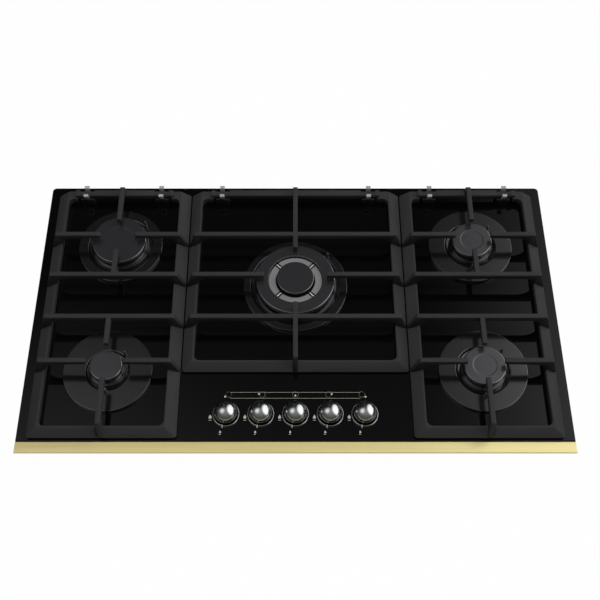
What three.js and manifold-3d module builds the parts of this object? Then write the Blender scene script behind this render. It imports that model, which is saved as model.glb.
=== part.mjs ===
// Built-in gas cooktop: a glass top with a metal front strip, five burners, five knobs and
// three cast pan supports that tilt up on a rail at the back.
// Millimetres. +X is right, +Y is away from the user, +Z is up. The origin is the middle of
// the whole footprint, at the level of the burner box's floor.
import * as THREE from "three";
import { ConvexGeometry } from "three/addons/geometries/ConvexGeometry.js";
import { mergeVertices } from "three/addons/utils/BufferGeometryUtils.js";
import Module from "manifold-3d";

const wasm = await Module();
wasm.setup();

// ---------------------------------------------------------------- clearances
const SEAT_GAP = 0.3; // between two pieces that rest on or are fixed to each other
const RUNNING_GAP = 0.4; // between a piece that turns or slides and what guides it
const OVERSHOOT = 1; // how far a cutting shape reaches past what it cuts

// ---------------------------------------------------------------- roundness
const FINE_SEGMENTS = 24;
const ROUND_SEGMENTS = 18;
const COARSE_SEGMENTS = 10;
const ARC_DIVISIONS = 2; // an arc is drawn with twice as many straight steps
const BAR_ARC_DIVISIONS = 3;

// ---------------------------------------------------------------- glass top and front strip
const WIDTH = 900;
const GLASS_LENGTH = 500; // front to back
const GLASS_THICKNESS = 6;
const GLASS_CORNER_RADIUS = 6; // at the rear; the front corners are square
const GLASS_BEVEL = 1;
const TRIM_LENGTH = 20; // front to back
const TRIM_NOSE = 2.8; // height of the strip's front edge
const TRIM_CHAMFER = 1.2;
const SEAL_WIDTH = 9;
const SEAL_THICKNESS = 3;
const SEAL_INSET = 1.5;

// ---------------------------------------------------------------- burner box below the glass
const BOX_WIDTH = 830;
const BOX_LENGTH = 460;
const BOX_HEIGHT = 48; // floor to the underside of the glass
const BOX_FRONT_INSET = 12; // behind the front edge of the glass
const BOX_CORNER_RADIUS = 10;
const SHEET = 1.2; // wall thickness
const BOX_FLANGE = 8; // turned inward along the top edge
const VENT_COUNT = 4; // in each row
const VENT_LENGTH = 60;
const VENT_WIDTH = 6;
const VENT_PITCH = 180;
const VENT_ROW = 150; // from the middle of the box to each row of vents

// ---------------------------------------------------------------- burner layout
const SIDE_BURNER_OFFSET = 312; // from the centre line
const FRONT_BURNER_ROW = 123; // behind the front edge of the glass
const REAR_BURNER_ROW = 369;
const BAR_SPACES = 3; // equal spaces between the four bars from the front row to the rear row

// ---------------------------------------------------------------- burners, heights above glass
const SPILL_PLATE_RADIUS = 74;
const WOK_PLATE_RADIUS = 90;
const PLATE_RIM_HEIGHT = 6;
const PLATE_SEAT_HEIGHT = 3.6; // top of the plate where the burner stands on it
const PLATE_RIM_WIDTH = 4;
const SMALL_CAP_RADIUS = 27;
const MEDIUM_CAP_RADIUS = 35;
const LARGE_CAP_RADIUS = 47.5;
const WOK_CAP_OUTER_RADIUS = 68;
const WOK_CAP_INNER_RADIUS = 48;
const WOK_INNER_CAP_RADIUS = 31.5;
const CAP_TOP = 25;
const CAP_HEIGHT = 8;
const WOK_CAP_TOP = 28;
const CAP_EDGE = 3; // rounding at the top edge of a cap
const CAP_DISH = 0.7; // depth of the shallow disc in a cap
const CAP_DISH_SHARE = 0.66; // radius of that disc over the radius of the cap
const CAP_OVERHANG = 3; // of a cap beyond the ring of flame ports
const PORT_RING_WIDTH = 6;
const PORT_RING_HEIGHT = 6;
const PORT_WIDTH = 2.4;
const PORT_DEPTH = 4;
const PORT_PITCH = 24; // around the ring
const BODY_SKIRT = 6; // of the burner's base ring beyond its port ring
const BODY_SKIRT_HEIGHT = 3;
const NECK_STEP = 9; // from the port ring in to the neck that passes the glass
const MIXING_BORE = 8;
const GLASS_HOLE_MARGIN = 17; // of the hole in the glass beyond the cap
const FLAME_RING_OUTER = 46;
const FLAME_RING_TOP = 22.5;
const FLAME_RING_FLOOR = 10;
const FLAME_SLOT_WIDTH = 6;
const FLAME_SLOT_DEPTH = 5;
const FLAME_SLOTS = 4;
const INNER_GROOVE = 1.5; // between the inner cap and the flame ring
const CUP_WALL = 2;
const CUP_LEDGE = 3; // of the cup under the burner's neck
const CUP_FLANGE = 7; // under the glass beyond its hole
const CUP_FLOOR = 3;
const ELECTRODE_RADIUS = 2.6;
const ELECTRODE_HEIGHT = 17;
const FLAME_SENSOR_RADIUS = 1.8;
const FLAME_SENSOR_HEIGHT = 20;
const SENSOR_STAND_OFF = 12; // from the edge of a cap to the electrode and the flame sensor

// ---------------------------------------------------------------- pan supports, heights above glass
const BAR_TOP = 45;
const BAR_WIDTH = 9;
const BAR_TIP_HEIGHT = 9;
const BAR_SPAN_HEIGHT = 12;
const BAR_END_SLOPE = 12; // how far a bar's top ends inside the outer edge of the frame
const BAR_FRONT_SLOPE = 8; // the same for the bars that start at the front
const BAR_TIP_CHAMFER = 1.5;
const ROOT_RADIUS = 21;
const FRAME_BASE = 2.5;
const FRAME_LIP = 2.5;
const FRAME_TOP = 17;
const FRAME_SIDE_WIDTH = 20;
const FRAME_FRONT_WIDTH = 16;
const FRAME_CREST = 3;
const FRAME_HEEL = 3; // cut off the rear lower edge, which swings down as the support tilts
const FRAME_CORNER_RADIUS = 10;
const CENTRE_SUPPORT_WIDTH = 378;
const SUPPORT_GAP = 2;
const SUPPORT_FRONT_INSET = 3.6; // behind the front edge of the glass
const SUPPORT_REAR_INSET = 20; // before the rear edge of the glass
const CENTRE_SUPPORT_INSET = 120.2; // front edge of the middle support behind the glass's
const TIP_RADIUS = 30.5; // from a burner's centre to the tips around it
const WOK_TIP_RADIUS = 54;
const FOOT_RADIUS = 6; // of the pads under the frame
const FOOT_INSET = 14; // along the frame from a front corner
const REAR_FOOT_INSET = 35; // from the rear edge of the frame

// ---------------------------------------------------------------- tilting rail and its clips
const RAIL_RADIUS = 5.5; // of the round journals
const RAIL_DEPTH = 12; // front to back, of the square stretches between the journals
const RAIL_HEIGHT = 18.5; // of its axis above the glass
const RAIL_INSET = 28; // of its axis before the rear edge of the glass
const JOURNAL_LENGTH = 26;
const RAIL_ROOT = 4; // length of each end of the rail that is cast into the frame
const SIDE_RAIL_HALF = 85;
const CENTRE_RAIL_HALF = 149;
const SIDE_CLIP_OFFSET = 68; // from the middle of the support
const CENTRE_CLIP_OFFSET = 133;
const CLIP_BLOCK_WIDTH = 24;
const CLIP_BLOCK_LENGTH = 19; // front to back
const CLIP_BLOCK_HEIGHT = 15; // its top, above the glass
const CLIP_BLOCK_CHAMFER = 2;
const CLIP_SPRING_WIDTH = 8;
const CLIP_SPRING_THICKNESS = 1.4;
const CLIP_CURL_RADIUS = 3.2; // of the outward curl at the end of each leg
const CLIP_CURL_RISE = 8.5; // of the middle of the curl above the rail's axis

// ---------------------------------------------------------------- knobs and valves
const KNOB_PITCH = 56.5;
const KNOB_ROW = 46.2; // behind the front edge of the glass
const KNOB_RADIUS = 18.5;
const KNOB_CENTRE_HEIGHT = 10;
const KNOB_BASE_HEIGHT = 5.4;
const KNOB_RINGS = 6; // steps of the dome from its foot to its crown
const KNOB_MARK_WIDTH = 1.6;
const KNOB_MARK_DEPTH = 0.8;
const KNOB_MARK_ANGLE = 30; // degrees from the crown to the start of the mark
const KNOB_TRAVEL = 4;
const BEZEL_RADIUS = 21.8;
const BEZEL_HEIGHT = 3;
const BEZEL_EDGE = 1.2;
const SPINDLE_RADIUS = 3;
const SPINDLE_FLAT = 1; // cut off one side of the spindle
const SPINDLE_TOP = 18; // above the glass
const SPINDLE_HOLE_GAP = 2; // around a spindle where it passes the glass and the bezel
const VALVE_SIZE = 24;
const VALVE_BASE = 16; // above the floor of the box
const VALVE_HEIGHT = 24;
const PLUG_RADIUS = 7;
const PLUG_TAPER = 0.8;
const PLUG_HEIGHT = 19;
const PLUG_FLOOR = 3; // under the bore that holds the spindle
const SPIGOT_RADIUS = 5;
const SPIGOT_LENGTH = 8;
const RAIL_SHEET = 1.5;
const MANIFOLD_RADIUS = 7;
const MANIFOLD_SINK = 2; // of the manifold into the valve bodies
const MANIFOLD_BEND = 30;
const MANIFOLD_SIDES = 8;
const TUBE_RADIUS = 4;
const TUBE_SIDES = 6;
const TUBE_STEPS = 9;
const TUBE_LEVEL = 22; // height of a gas tube's axis above the floor
const TUBE_LEAD = 24; // straight length at each end of a gas tube
const INLET_OFFSET = 385; // of the gas inlet from the centre line
const INLET_RADIUS = 10.5;
const INLET_BORE = 6.5;
const INLET_LENGTH = 24; // outside the box
const INLET_TAIL = 12; // inside the box
const HEX_WIDTH = 27;
const HEX_THICKNESS = 9;
const GLAND_RADIUS = 9;
const GLAND_BORE = 4;
const GLAND_LENGTH = 16;
const GLAND_TAIL = 6;
const GENERATOR_LENGTH = 70;
const GENERATOR_DEPTH = 38;
const GENERATOR_HEIGHT = 24;
const GENERATOR_OFFSET = 150; // from the centre line
const GENERATOR_INSET = 52; // of its middle before the rear wall of the box
const GENERATOR_TERMINALS = 5;
const GENERATOR_FOOT_LENGTH = 8;
const GENERATOR_FOOT_WIDTH = 20;
const TERMINAL_RADIUS = 3;
const TERMINAL_HEIGHT = 6;

// ---------------------------------------------------------------- headings, seen from above
const TO_RIGHT = 0;
const TO_REAR = Math.PI / 2;
const TO_LEFT = Math.PI;
const TO_FRONT = -Math.PI / 2;
const ELECTRODE_HEADING = TO_FRONT;
const FLAME_SENSOR_HEADING = Math.PI / 4;

// ---------------------------------------------------------------- derived places
const TOTAL_LENGTH = GLASS_LENGTH + TRIM_LENGTH;
const FRONT = -TOTAL_LENGTH / 2;
const REAR = TOTAL_LENGTH / 2;
const GLASS_FRONT = FRONT + TRIM_LENGTH;
const GLASS_TOP = BOX_HEIGHT + GLASS_THICKNESS;
const BOX_FRONT = GLASS_FRONT + BOX_FRONT_INSET;
const BOX_REAR = BOX_FRONT + BOX_LENGTH;
const BOX_MIDDLE = (BOX_FRONT + BOX_REAR) / 2;
const BOX_TOP = BOX_HEIGHT - SEAT_GAP;
const FRONT_ROW = GLASS_FRONT + FRONT_BURNER_ROW;
const REAR_ROW = GLASS_FRONT + REAR_BURNER_ROW;
const BAR_PITCH = (REAR_ROW - FRONT_ROW) / BAR_SPACES;
const FRONT_CROSSBAR_ROW = FRONT_ROW + BAR_PITCH;
const REAR_CROSSBAR_ROW = REAR_ROW - BAR_PITCH;
const WOK_ROW = REAR_CROSSBAR_ROW;
const KNOB_Y = GLASS_FRONT + KNOB_ROW;
const RAIL_Y = REAR - RAIL_INSET;
const SUPPORT_FRONT = GLASS_FRONT + SUPPORT_FRONT_INSET;
const SUPPORT_REAR = REAR - SUPPORT_REAR_INSET;
const CENTRE_SUPPORT_FRONT = GLASS_FRONT + CENTRE_SUPPORT_INSET;
const SIDE_SUPPORT_WIDTH = 2 * (SIDE_BURNER_OFFSET - CENTRE_SUPPORT_WIDTH / 2 - SUPPORT_GAP);
const MANIFOLD_Y = KNOB_Y - VALVE_SIZE / 2 - MANIFOLD_RADIUS + MANIFOLD_SINK;
const MANIFOLD_LEVEL = VALVE_BASE + VALVE_HEIGHT / 2;

const KNOB_NAMES = ["front_left", "rear_left", "wok", "rear_right", "front_right"];

const BURNERS = [
  { name: "rear_left", x: -SIDE_BURNER_OFFSET, y: REAR_ROW, cap: LARGE_CAP_RADIUS },
  { name: "rear_right", x: SIDE_BURNER_OFFSET, y: REAR_ROW, cap: MEDIUM_CAP_RADIUS },
  { name: "front_left", x: -SIDE_BURNER_OFFSET, y: FRONT_ROW, cap: SMALL_CAP_RADIUS },
  { name: "front_right", x: SIDE_BURNER_OFFSET, y: FRONT_ROW, cap: MEDIUM_CAP_RADIUS },
];
const WOK = { name: "wok", x: 0, y: WOK_ROW, cap: WOK_CAP_OUTER_RADIUS };

// ---------------------------------------------------------------- materials
function finish(color, roughness, metalness) {
  return new THREE.MeshStandardMaterial({ color, roughness, metalness });
}

const BLACK_GLASS = finish(0x08090a, 0.06, 0);
const BRUSHED_GOLD = finish(0xc6ae76, 0.35, 1);
const CAST_IRON = finish(0x26282a, 0.65, 0.2);
const BLACK_ENAMEL = finish(0x2c2d31, 0.4, 0.1);
const ALUMINIUM = finish(0xb9bcc0, 0.35, 1);
const CHROME = finish(0xc8cacd, 0.12, 1);
const BRASS = finish(0xb08a4a, 0.4, 1);
const ZINC_SHEET = finish(0x9a9ea3, 0.5, 1);
const STEEL = finish(0x8f9499, 0.4, 1);
const BLACK_PLASTIC = finish(0x1a1b1d, 0.6, 0);
const FOAM = finish(0x303133, 1, 0);

// ---------------------------------------------------------------- solids and how they join
function toSolid(geometry) {
  const bare = geometry.clone();
  bare.deleteAttribute("normal");
  bare.deleteAttribute("uv");
  const welded = mergeVertices(bare, 1e-4);
  const vertProperties = Float32Array.from(welded.attributes.position.array);
  const triVerts = Uint32Array.from(welded.index.array);
  return new wasm.Manifold(new wasm.Mesh({ numProp: 3, vertProperties, triVerts }));
}

function toGeometry(body) {
  const mesh = body.getMesh();
  const geometry = new THREE.BufferGeometry();
  geometry.setAttribute("position", new THREE.BufferAttribute(mesh.vertProperties, 3));
  geometry.setIndex(new THREE.BufferAttribute(mesh.triVerts, 1));
  geometry.computeVertexNormals();
  return geometry;
}

function join(pieces) {
  return pieces.map(toSolid).reduce((whole, piece) => whole.add(piece));
}

function cut(body, tools) {
  return tools.map(toSolid).reduce((whole, tool) => whole.subtract(tool), body);
}

// ---------------------------------------------------------------- basic forms
function block(x0, x1, y0, y1, z0, z1) {
  const geometry = new THREE.BoxGeometry(x1 - x0, y1 - y0, z1 - z0);
  return geometry.translate((x0 + x1) / 2, (y0 + y1) / 2, (z0 + z1) / 2);
}

function post(x, y, z0, z1, radius, segments) {
  const geometry = new THREE.CylinderGeometry(radius, radius, z1 - z0, segments);
  return geometry.rotateX(Math.PI / 2).translate(x, y, (z0 + z1) / 2);
}

function rodAlongX(x0, x1, y, z, radius, segments) {
  const geometry = new THREE.CylinderGeometry(radius, radius, x1 - x0, segments);
  return geometry.rotateZ(Math.PI / 2).translate((x0 + x1) / 2, y, z);
}

function rodAlongY(x, y0, y1, z, radius, segments) {
  const geometry = new THREE.CylinderGeometry(radius, radius, y1 - y0, segments);
  return geometry.translate(x, (y0 + y1) / 2, z);
}

function roundedRectangle(x0, x1, y0, y1, radius) {
  const outline = new THREE.Shape();
  outline.absarc(x1 - radius, y0 + radius, radius, -Math.PI / 2, 0);
  outline.absarc(x1 - radius, y1 - radius, radius, 0, Math.PI / 2);
  outline.absarc(x0 + radius, y1 - radius, radius, Math.PI / 2, Math.PI);
  outline.absarc(x0 + radius, y0 + radius, radius, Math.PI, 1.5 * Math.PI);
  outline.closePath();
  return outline;
}

// Round at the rear corners only, for a sheet whose front edge meets another piece.
function squareFrontedRectangle(x0, x1, y0, y1, radius) {
  const outline = new THREE.Shape();
  outline.moveTo(x0, y0);
  outline.lineTo(x1, y0);
  outline.absarc(x1 - radius, y1 - radius, radius, 0, Math.PI / 2);
  outline.absarc(x0 + radius, y1 - radius, radius, Math.PI / 2, Math.PI);
  outline.closePath();
  return outline;
}

function slab(outline, z0, z1) {
  const options = { depth: z1 - z0, bevelEnabled: false, curveSegments: ARC_DIVISIONS };
  return new THREE.ExtrudeGeometry(outline, options).translate(0, 0, z0);
}

// A side view drawn as (along, up) becomes a plate of the given width that stands upright.
// The heading turns "along" from +X towards +Y.
function upright(outline, width, heading, x, y) {
  const options = { depth: width, bevelEnabled: false, curveSegments: BAR_ARC_DIVISIONS };
  const geometry = new THREE.ExtrudeGeometry(outline, options);
  geometry.translate(0, 0, -width / 2).rotateX(Math.PI / 2);
  return geometry.rotateZ(heading).translate(x, y, 0);
}

// A closed profile of [radius, height] points, anticlockwise in that plane, turned about Z.
function turned(profile, segments, x, y) {
  const points = profile.map(([radius, height]) => new THREE.Vector2(radius, height));
  const closes = profile[0][0] > 0;
  if (closes) {
    points.push(points[0].clone());
  }
  return new THREE.LatheGeometry(points, segments).rotateX(Math.PI / 2).translate(x, y, 0);
}

// The distance from the axis to the middle of a flat of a turned piece.
function acrossFlats(radius, segments) {
  return radius * Math.cos(Math.PI / segments);
}

function sweptRound(path, radius, sides, steps) {
  const section = new THREE.Shape();
  section.absarc(0, 0, radius, 0, 2 * Math.PI);
  const options = { steps, bevelEnabled: false, extrudePath: path, curveSegments: sides / 2 };
  return new THREE.ExtrudeGeometry(section, options);
}

// ---------------------------------------------------------------- the assembly
const cooktop = new THREE.Group();

function place(name, shape, material) {
  const geometry = shape.isBufferGeometry ? shape : toGeometry(shape);
  const mesh = new THREE.Mesh(geometry, material);
  mesh.name = name;
  cooktop.add(mesh);
}

// ---------------------------------------------------------------- derived burner sizes
function portRadius(burner) {
  return burner.cap - CAP_OVERHANG;
}

function neckRadius(burner) {
  return burner === WOK ? FLAME_RING_OUTER - SEAT_GAP : portRadius(burner) - NECK_STEP;
}

function glassHoleRadius(burner) {
  return burner.cap + GLASS_HOLE_MARGIN;
}

function capTop(burner) {
  return GLASS_TOP + (burner === WOK ? WOK_CAP_TOP : CAP_TOP);
}

// ---------------------------------------------------------------- glass, strip and seal
function glassTop() {
  const outline = squareFrontedRectangle(
    -WIDTH / 2 + GLASS_BEVEL,
    WIDTH / 2 - GLASS_BEVEL,
    GLASS_FRONT + GLASS_BEVEL,
    REAR - GLASS_BEVEL,
    GLASS_CORNER_RADIUS,
  );
  const options = {
    depth: GLASS_THICKNESS - 2 * GLASS_BEVEL,
    bevelSize: GLASS_BEVEL,
    bevelThickness: GLASS_BEVEL,
    bevelSegments: 1,
    curveSegments: ARC_DIVISIONS,
  };
  const sheet = new THREE.ExtrudeGeometry(outline, options).translate(0, 0, BOX_HEIGHT + GLASS_BEVEL);
  const below = BOX_HEIGHT - OVERSHOOT;
  const above = GLASS_TOP + OVERSHOOT;
  const burnerHoles = [...BURNERS, WOK].map((burner) =>
    post(burner.x, burner.y, below, above, glassHoleRadius(burner), ROUND_SEGMENTS),
  );
  const spindleHole = SPINDLE_RADIUS + SPINDLE_HOLE_GAP;
  const knobHoles = KNOB_NAMES.map((_, index) =>
    post(knobX(index), KNOB_Y, below, above, spindleHole, MANIFOLD_SIDES),
  );
  place("glass_top", cut(toSolid(sheet), [...burnerHoles, ...knobHoles]), BLACK_GLASS);
}

// The strip is as thick as the glass where they meet and thins towards its front edge.
function frontTrim() {
  const outline = new THREE.Shape();
  const rear = TRIM_LENGTH - SEAT_GAP;
  outline.moveTo(rear, BOX_HEIGHT);
  outline.lineTo(rear, GLASS_TOP);
  outline.lineTo(TRIM_CHAMFER, GLASS_TOP);
  outline.lineTo(0, GLASS_TOP - TRIM_CHAMFER);
  outline.lineTo(0, GLASS_TOP - TRIM_NOSE);
  outline.lineTo(TRIM_LENGTH / 2, BOX_HEIGHT);
  outline.closePath();
  place("front_trim", upright(outline, WIDTH, TO_REAR, 0, FRONT), BRUSHED_GOLD);
}

// One loop of foam tape under the rim of the glass, with the same radius at all four corners.
function worktopSeal() {
  const top = BOX_HEIGHT - SEAT_GAP;
  const bottom = top - SEAL_THICKNESS;
  const loop = (inset) =>
    roundedRectangle(
      -WIDTH / 2 + inset,
      WIDTH / 2 - inset,
      GLASS_FRONT + inset,
      REAR - inset,
      GLASS_CORNER_RADIUS,
    );
  const inner = slab(loop(SEAL_INSET + SEAL_WIDTH), bottom - OVERSHOOT, top + OVERSHOOT);
  place("worktop_seal", cut(toSolid(slab(loop(SEAL_INSET), bottom, top)), [inner]), FOAM);
}

// ---------------------------------------------------------------- burner box
function boxOutline(inset) {
  return roundedRectangle(
    -BOX_WIDTH / 2 + inset,
    BOX_WIDTH / 2 - inset,
    BOX_FRONT + inset,
    BOX_REAR - inset,
    BOX_CORNER_RADIUS - Math.min(inset, BOX_CORNER_RADIUS / 2),
  );
}

function floorVents() {
  const vents = [];
  for (const row of [-VENT_ROW, VENT_ROW]) {
    for (let step = 0; step < VENT_COUNT; step += 1) {
      const x = (step - (VENT_COUNT - 1) / 2) * VENT_PITCH;
      const y = BOX_MIDDLE + row;
      const half = VENT_LENGTH / 2;
      vents.push(block(x - half, x + half, y, y + VENT_WIDTH, -OVERSHOOT, SHEET + OVERSHOOT));
    }
  }
  return vents;
}

function burnerBox() {
  const shell = toSolid(slab(boxOutline(0), 0, BOX_TOP));
  const inside = slab(boxOutline(SHEET), SHEET, BOX_TOP - SHEET);
  const mouth = slab(boxOutline(BOX_FLANGE), BOX_TOP - SHEET - OVERSHOOT, BOX_TOP + OVERSHOOT);
  const wallStart = BOX_REAR - SHEET - OVERSHOOT;
  const wallEnd = BOX_REAR + OVERSHOOT;
  const inletHole = rodAlongY(
    INLET_OFFSET, wallStart, wallEnd, MANIFOLD_LEVEL, INLET_RADIUS + SEAT_GAP, COARSE_SEGMENTS,
  );
  const glandHole = rodAlongY(
    -INLET_OFFSET, wallStart, wallEnd, MANIFOLD_LEVEL, GLAND_RADIUS + SEAT_GAP, COARSE_SEGMENTS,
  );
  place("burner_box", cut(shell, [inside, mouth, inletHole, glandHole, ...floorVents()]), ZINC_SHEET);
}

// ---------------------------------------------------------------- burner pieces
function spillPlate(burner, radius) {
  const bore = neckRadius(burner) + RUNNING_GAP;
  const base = GLASS_TOP + SEAT_GAP;
  const rim = GLASS_TOP + PLATE_RIM_HEIGHT;
  const seat = GLASS_TOP + PLATE_SEAT_HEIGHT;
  const profile = [
    [bore, base],
    [radius, base],
    [radius, rim],
    [radius - PLATE_RIM_WIDTH, rim - SHEET],
    [burner.cap + BODY_SKIRT, seat],
    [bore, seat],
  ];
  const plate = toSolid(turned(profile, FINE_SEGMENTS, burner.x, burner.y));
  const bores = [
    sensorPost(burner, ELECTRODE_HEADING, ELECTRODE_RADIUS + RUNNING_GAP, GLASS_TOP, rim),
    sensorPost(burner, FLAME_SENSOR_HEADING, FLAME_SENSOR_RADIUS + RUNNING_GAP, GLASS_TOP, rim),
  ];
  place(`spill_plate_${burner.name}`, cut(plate, bores), BLACK_ENAMEL);
}

function polar(radius, angle) {
  return new THREE.Vector2(radius * Math.cos(angle), radius * Math.sin(angle));
}

// A ring with a slot for each flame, seen from above.
function portOutline(outer, inner) {
  const count = Math.round((2 * Math.PI * outer) / PORT_PITCH);
  const pitch = (2 * Math.PI) / count;
  const slot = PORT_WIDTH / outer;
  const floor = outer - PORT_DEPTH;
  const corners = Array.from({ length: count }, (_, index) => {
    const start = index * pitch;
    const end = start + pitch - slot;
    return [polar(floor, start), polar(outer, start), polar(outer, end), polar(floor, end)];
  });
  const bore = Array.from({ length: COARSE_SEGMENTS }, (_, step) =>
    polar(inner, (-step / COARSE_SEGMENTS) * 2 * Math.PI),
  );
  const outline = new THREE.Shape(corners.flat());
  outline.holes.push(new THREE.Path(bore));
  return outline;
}

function portRing(burner, outer, inner, z0, z1) {
  return slab(portOutline(outer, inner), z0, z1).translate(burner.x, burner.y, 0);
}

function burnerBody(burner) {
  const ring = portRadius(burner);
  const seat = GLASS_TOP + PLATE_SEAT_HEIGHT + SEAT_GAP;
  const ringTop = capTop(burner) - CAP_HEIGHT - SEAT_GAP;
  const ringBase = ringTop - PORT_RING_HEIGHT;
  const profile = [
    [MIXING_BORE, BOX_HEIGHT],
    [neckRadius(burner), BOX_HEIGHT],
    [neckRadius(burner), seat],
    [ring + BODY_SKIRT, seat],
    [ring + BODY_SKIRT, seat + BODY_SKIRT_HEIGHT],
    [ring, ringBase],
    [MIXING_BORE, ringBase],
  ];
  const base = turned(profile, ROUND_SEGMENTS, burner.x, burner.y);
  const ports = portRing(burner, ring, ring - PORT_RING_WIDTH, ringBase - SEAT_GAP, ringTop);
  place(`burner_body_${burner.name}`, join([base, ports]), ALUMINIUM);
}

function burnerCap(burner, radius, name) {
  const top = capTop(burner);
  const bottom = top - (burner === WOK ? WOK_CAP_TOP - FLAME_RING_TOP : CAP_HEIGHT);
  const edge = Math.min(CAP_EDGE, (top - bottom) / 2);
  const dish = radius * CAP_DISH_SHARE;
  const profile = [
    [0, bottom],
    [radius, bottom],
    [radius, top - edge],
    [radius - edge / 3, top - edge / 3],
    [radius - edge, top],
    [dish + CAP_DISH, top],
    [dish, top - CAP_DISH],
    [0, top - CAP_DISH],
  ];
  place(name, turned(profile, ROUND_SEGMENTS, burner.x, burner.y), BLACK_ENAMEL);
}

function wokBody() {
  const ring = portRadius(WOK);
  const seat = GLASS_TOP + PLATE_SEAT_HEIGHT + SEAT_GAP;
  const platform = GLASS_TOP + FLAME_RING_FLOOR - SEAT_GAP;
  const ringTop = capTop(WOK) - CAP_HEIGHT - SEAT_GAP;
  const ringBase = ringTop - PORT_RING_HEIGHT;
  const channel = WOK_CAP_INNER_RADIUS + CAP_OVERHANG / 2;
  const profile = [
    [MIXING_BORE, BOX_HEIGHT],
    [neckRadius(WOK), BOX_HEIGHT],
    [neckRadius(WOK), seat],
    [ring + BODY_SKIRT, seat],
    [ring + BODY_SKIRT, seat + BODY_SKIRT_HEIGHT],
    [ring, ringBase],
    [channel, ringBase],
    [channel, platform],
    [MIXING_BORE, platform],
  ];
  const base = turned(profile, ROUND_SEGMENTS, WOK.x, WOK.y);
  const ports = portRing(WOK, ring, channel, ringBase - SEAT_GAP, ringTop);
  place("burner_body_wok", join([base, ports]), ALUMINIUM);
}

function wokFlameRing() {
  const floor = GLASS_TOP + FLAME_RING_FLOOR;
  const top = GLASS_TOP + FLAME_RING_TOP;
  const groove = WOK_INNER_CAP_RADIUS + INNER_GROOVE;
  const crown = WOK_INNER_CAP_RADIUS - CAP_OVERHANG;
  const crownTop = top - SEAT_GAP;
  const grooveFloor = top - FLAME_SLOT_DEPTH;
  const profile = [
    [MIXING_BORE, floor],
    [FLAME_RING_OUTER, floor],
    [FLAME_RING_OUTER, top - OVERSHOOT],
    [FLAME_RING_OUTER - OVERSHOOT, top],
    [groove, top],
    [groove, grooveFloor],
    [crown, grooveFloor],
    [crown, crownTop],
    [MIXING_BORE, crownTop],
  ];
  const body = toSolid(turned(profile, ROUND_SEGMENTS, WOK.x, WOK.y));
  const half = FLAME_SLOT_WIDTH / 2;
  const reach = FLAME_RING_OUTER + OVERSHOOT;
  const slots = Array.from({ length: FLAME_SLOTS }, (_, index) => {
    const slot = block(crown, reach, -half, half, grooveFloor, top + OVERSHOOT);
    const angle = ((index + 0.5) / FLAME_SLOTS) * 2 * Math.PI;
    return slot.rotateZ(angle).translate(WOK.x, WOK.y, 0);
  });
  place("wok_flame_ring", cut(body, slots), ALUMINIUM);
}

function wokRingCap() {
  const top = capTop(WOK);
  const bottom = top - CAP_HEIGHT;
  const outer = WOK_CAP_OUTER_RADIUS;
  const inner = WOK_CAP_INNER_RADIUS;
  const edge = CAP_EDGE;
  const profile = [
    [inner, bottom],
    [outer, bottom],
    [outer, top - edge],
    [outer - edge / 3, top - edge / 3],
    [outer - edge, top],
    [inner + edge, top],
    [inner, top - edge],
  ];
  place("wok_ring_cap", turned(profile, FINE_SEGMENTS, WOK.x, WOK.y), BLACK_ENAMEL);
}

// The cup hangs under the hole in the glass and feeds its burner. It carries the spark
// electrode and the flame sensor, which stand up through the spill plate.
function burnerCup(burner) {
  const opening = neckRadius(burner) - CUP_LEDGE;
  const pot = opening + CUP_WALL;
  const flange = glassHoleRadius(burner) + CUP_FLANGE;
  const floor = SHEET + SEAT_GAP;
  const top = BOX_HEIGHT - SEAT_GAP;
  const profile = [
    [0, floor],
    [pot, floor],
    [pot, top - CUP_FLOOR],
    [flange, top - CUP_FLOOR],
    [flange, top],
    [opening, top],
    [opening, floor + CUP_FLOOR],
    [0, floor + CUP_FLOOR],
  ];
  const root = top - CUP_FLOOR / 2;
  const pieces = [
    turned(profile, COARSE_SEGMENTS, burner.x, burner.y),
    sensorPost(burner, ELECTRODE_HEADING, ELECTRODE_RADIUS, root, GLASS_TOP + ELECTRODE_HEIGHT),
    sensorPost(burner, FLAME_SENSOR_HEADING, FLAME_SENSOR_RADIUS, root, GLASS_TOP + FLAME_SENSOR_HEIGHT),
    gasTube(burner, pot),
  ];
  place(`burner_cup_${burner.name}`, join(pieces), ALUMINIUM);
}

function sensorPost(burner, heading, radius, z0, z1) {
  const distance = burner.cap + SENSOR_STAND_OFF;
  const x = burner.x + distance * Math.cos(heading);
  const y = burner.y + distance * Math.sin(heading);
  return post(x, y, z0, z1, radius, TUBE_SIDES);
}

// The tube runs from the outlet of the burner's valve to the near side of its cup.
function gasTube(burner, pot) {
  const x = knobX(KNOB_NAMES.indexOf(burner.name));
  const start = KNOB_Y + VALVE_SIZE / 2 + SPIGOT_LENGTH + SEAT_GAP;
  const z = TUBE_LEVEL;
  const reach = acrossFlats(pot, COARSE_SEGMENTS) - CUP_WALL / 2;
  const side = Math.sign(burner.x);
  if (side === 0) {
    return rodAlongY(x, start, burner.y - reach, z, TUBE_RADIUS, TUBE_SIDES);
  }
  const end = burner.x - side * reach;
  const lead = start + TUBE_LEAD;
  const points = [
    [x, start],
    [x, lead],
    [(x + end) / 2, (lead + burner.y) / 2],
    [end - side * TUBE_LEAD, burner.y],
    [end, burner.y],
  ];
  const path = new THREE.CatmullRomCurve3(points.map(([px, py]) => new THREE.Vector3(px, py, z)));
  return sweptRound(path, TUBE_RADIUS, TUBE_SIDES, TUBE_STEPS);
}

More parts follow.
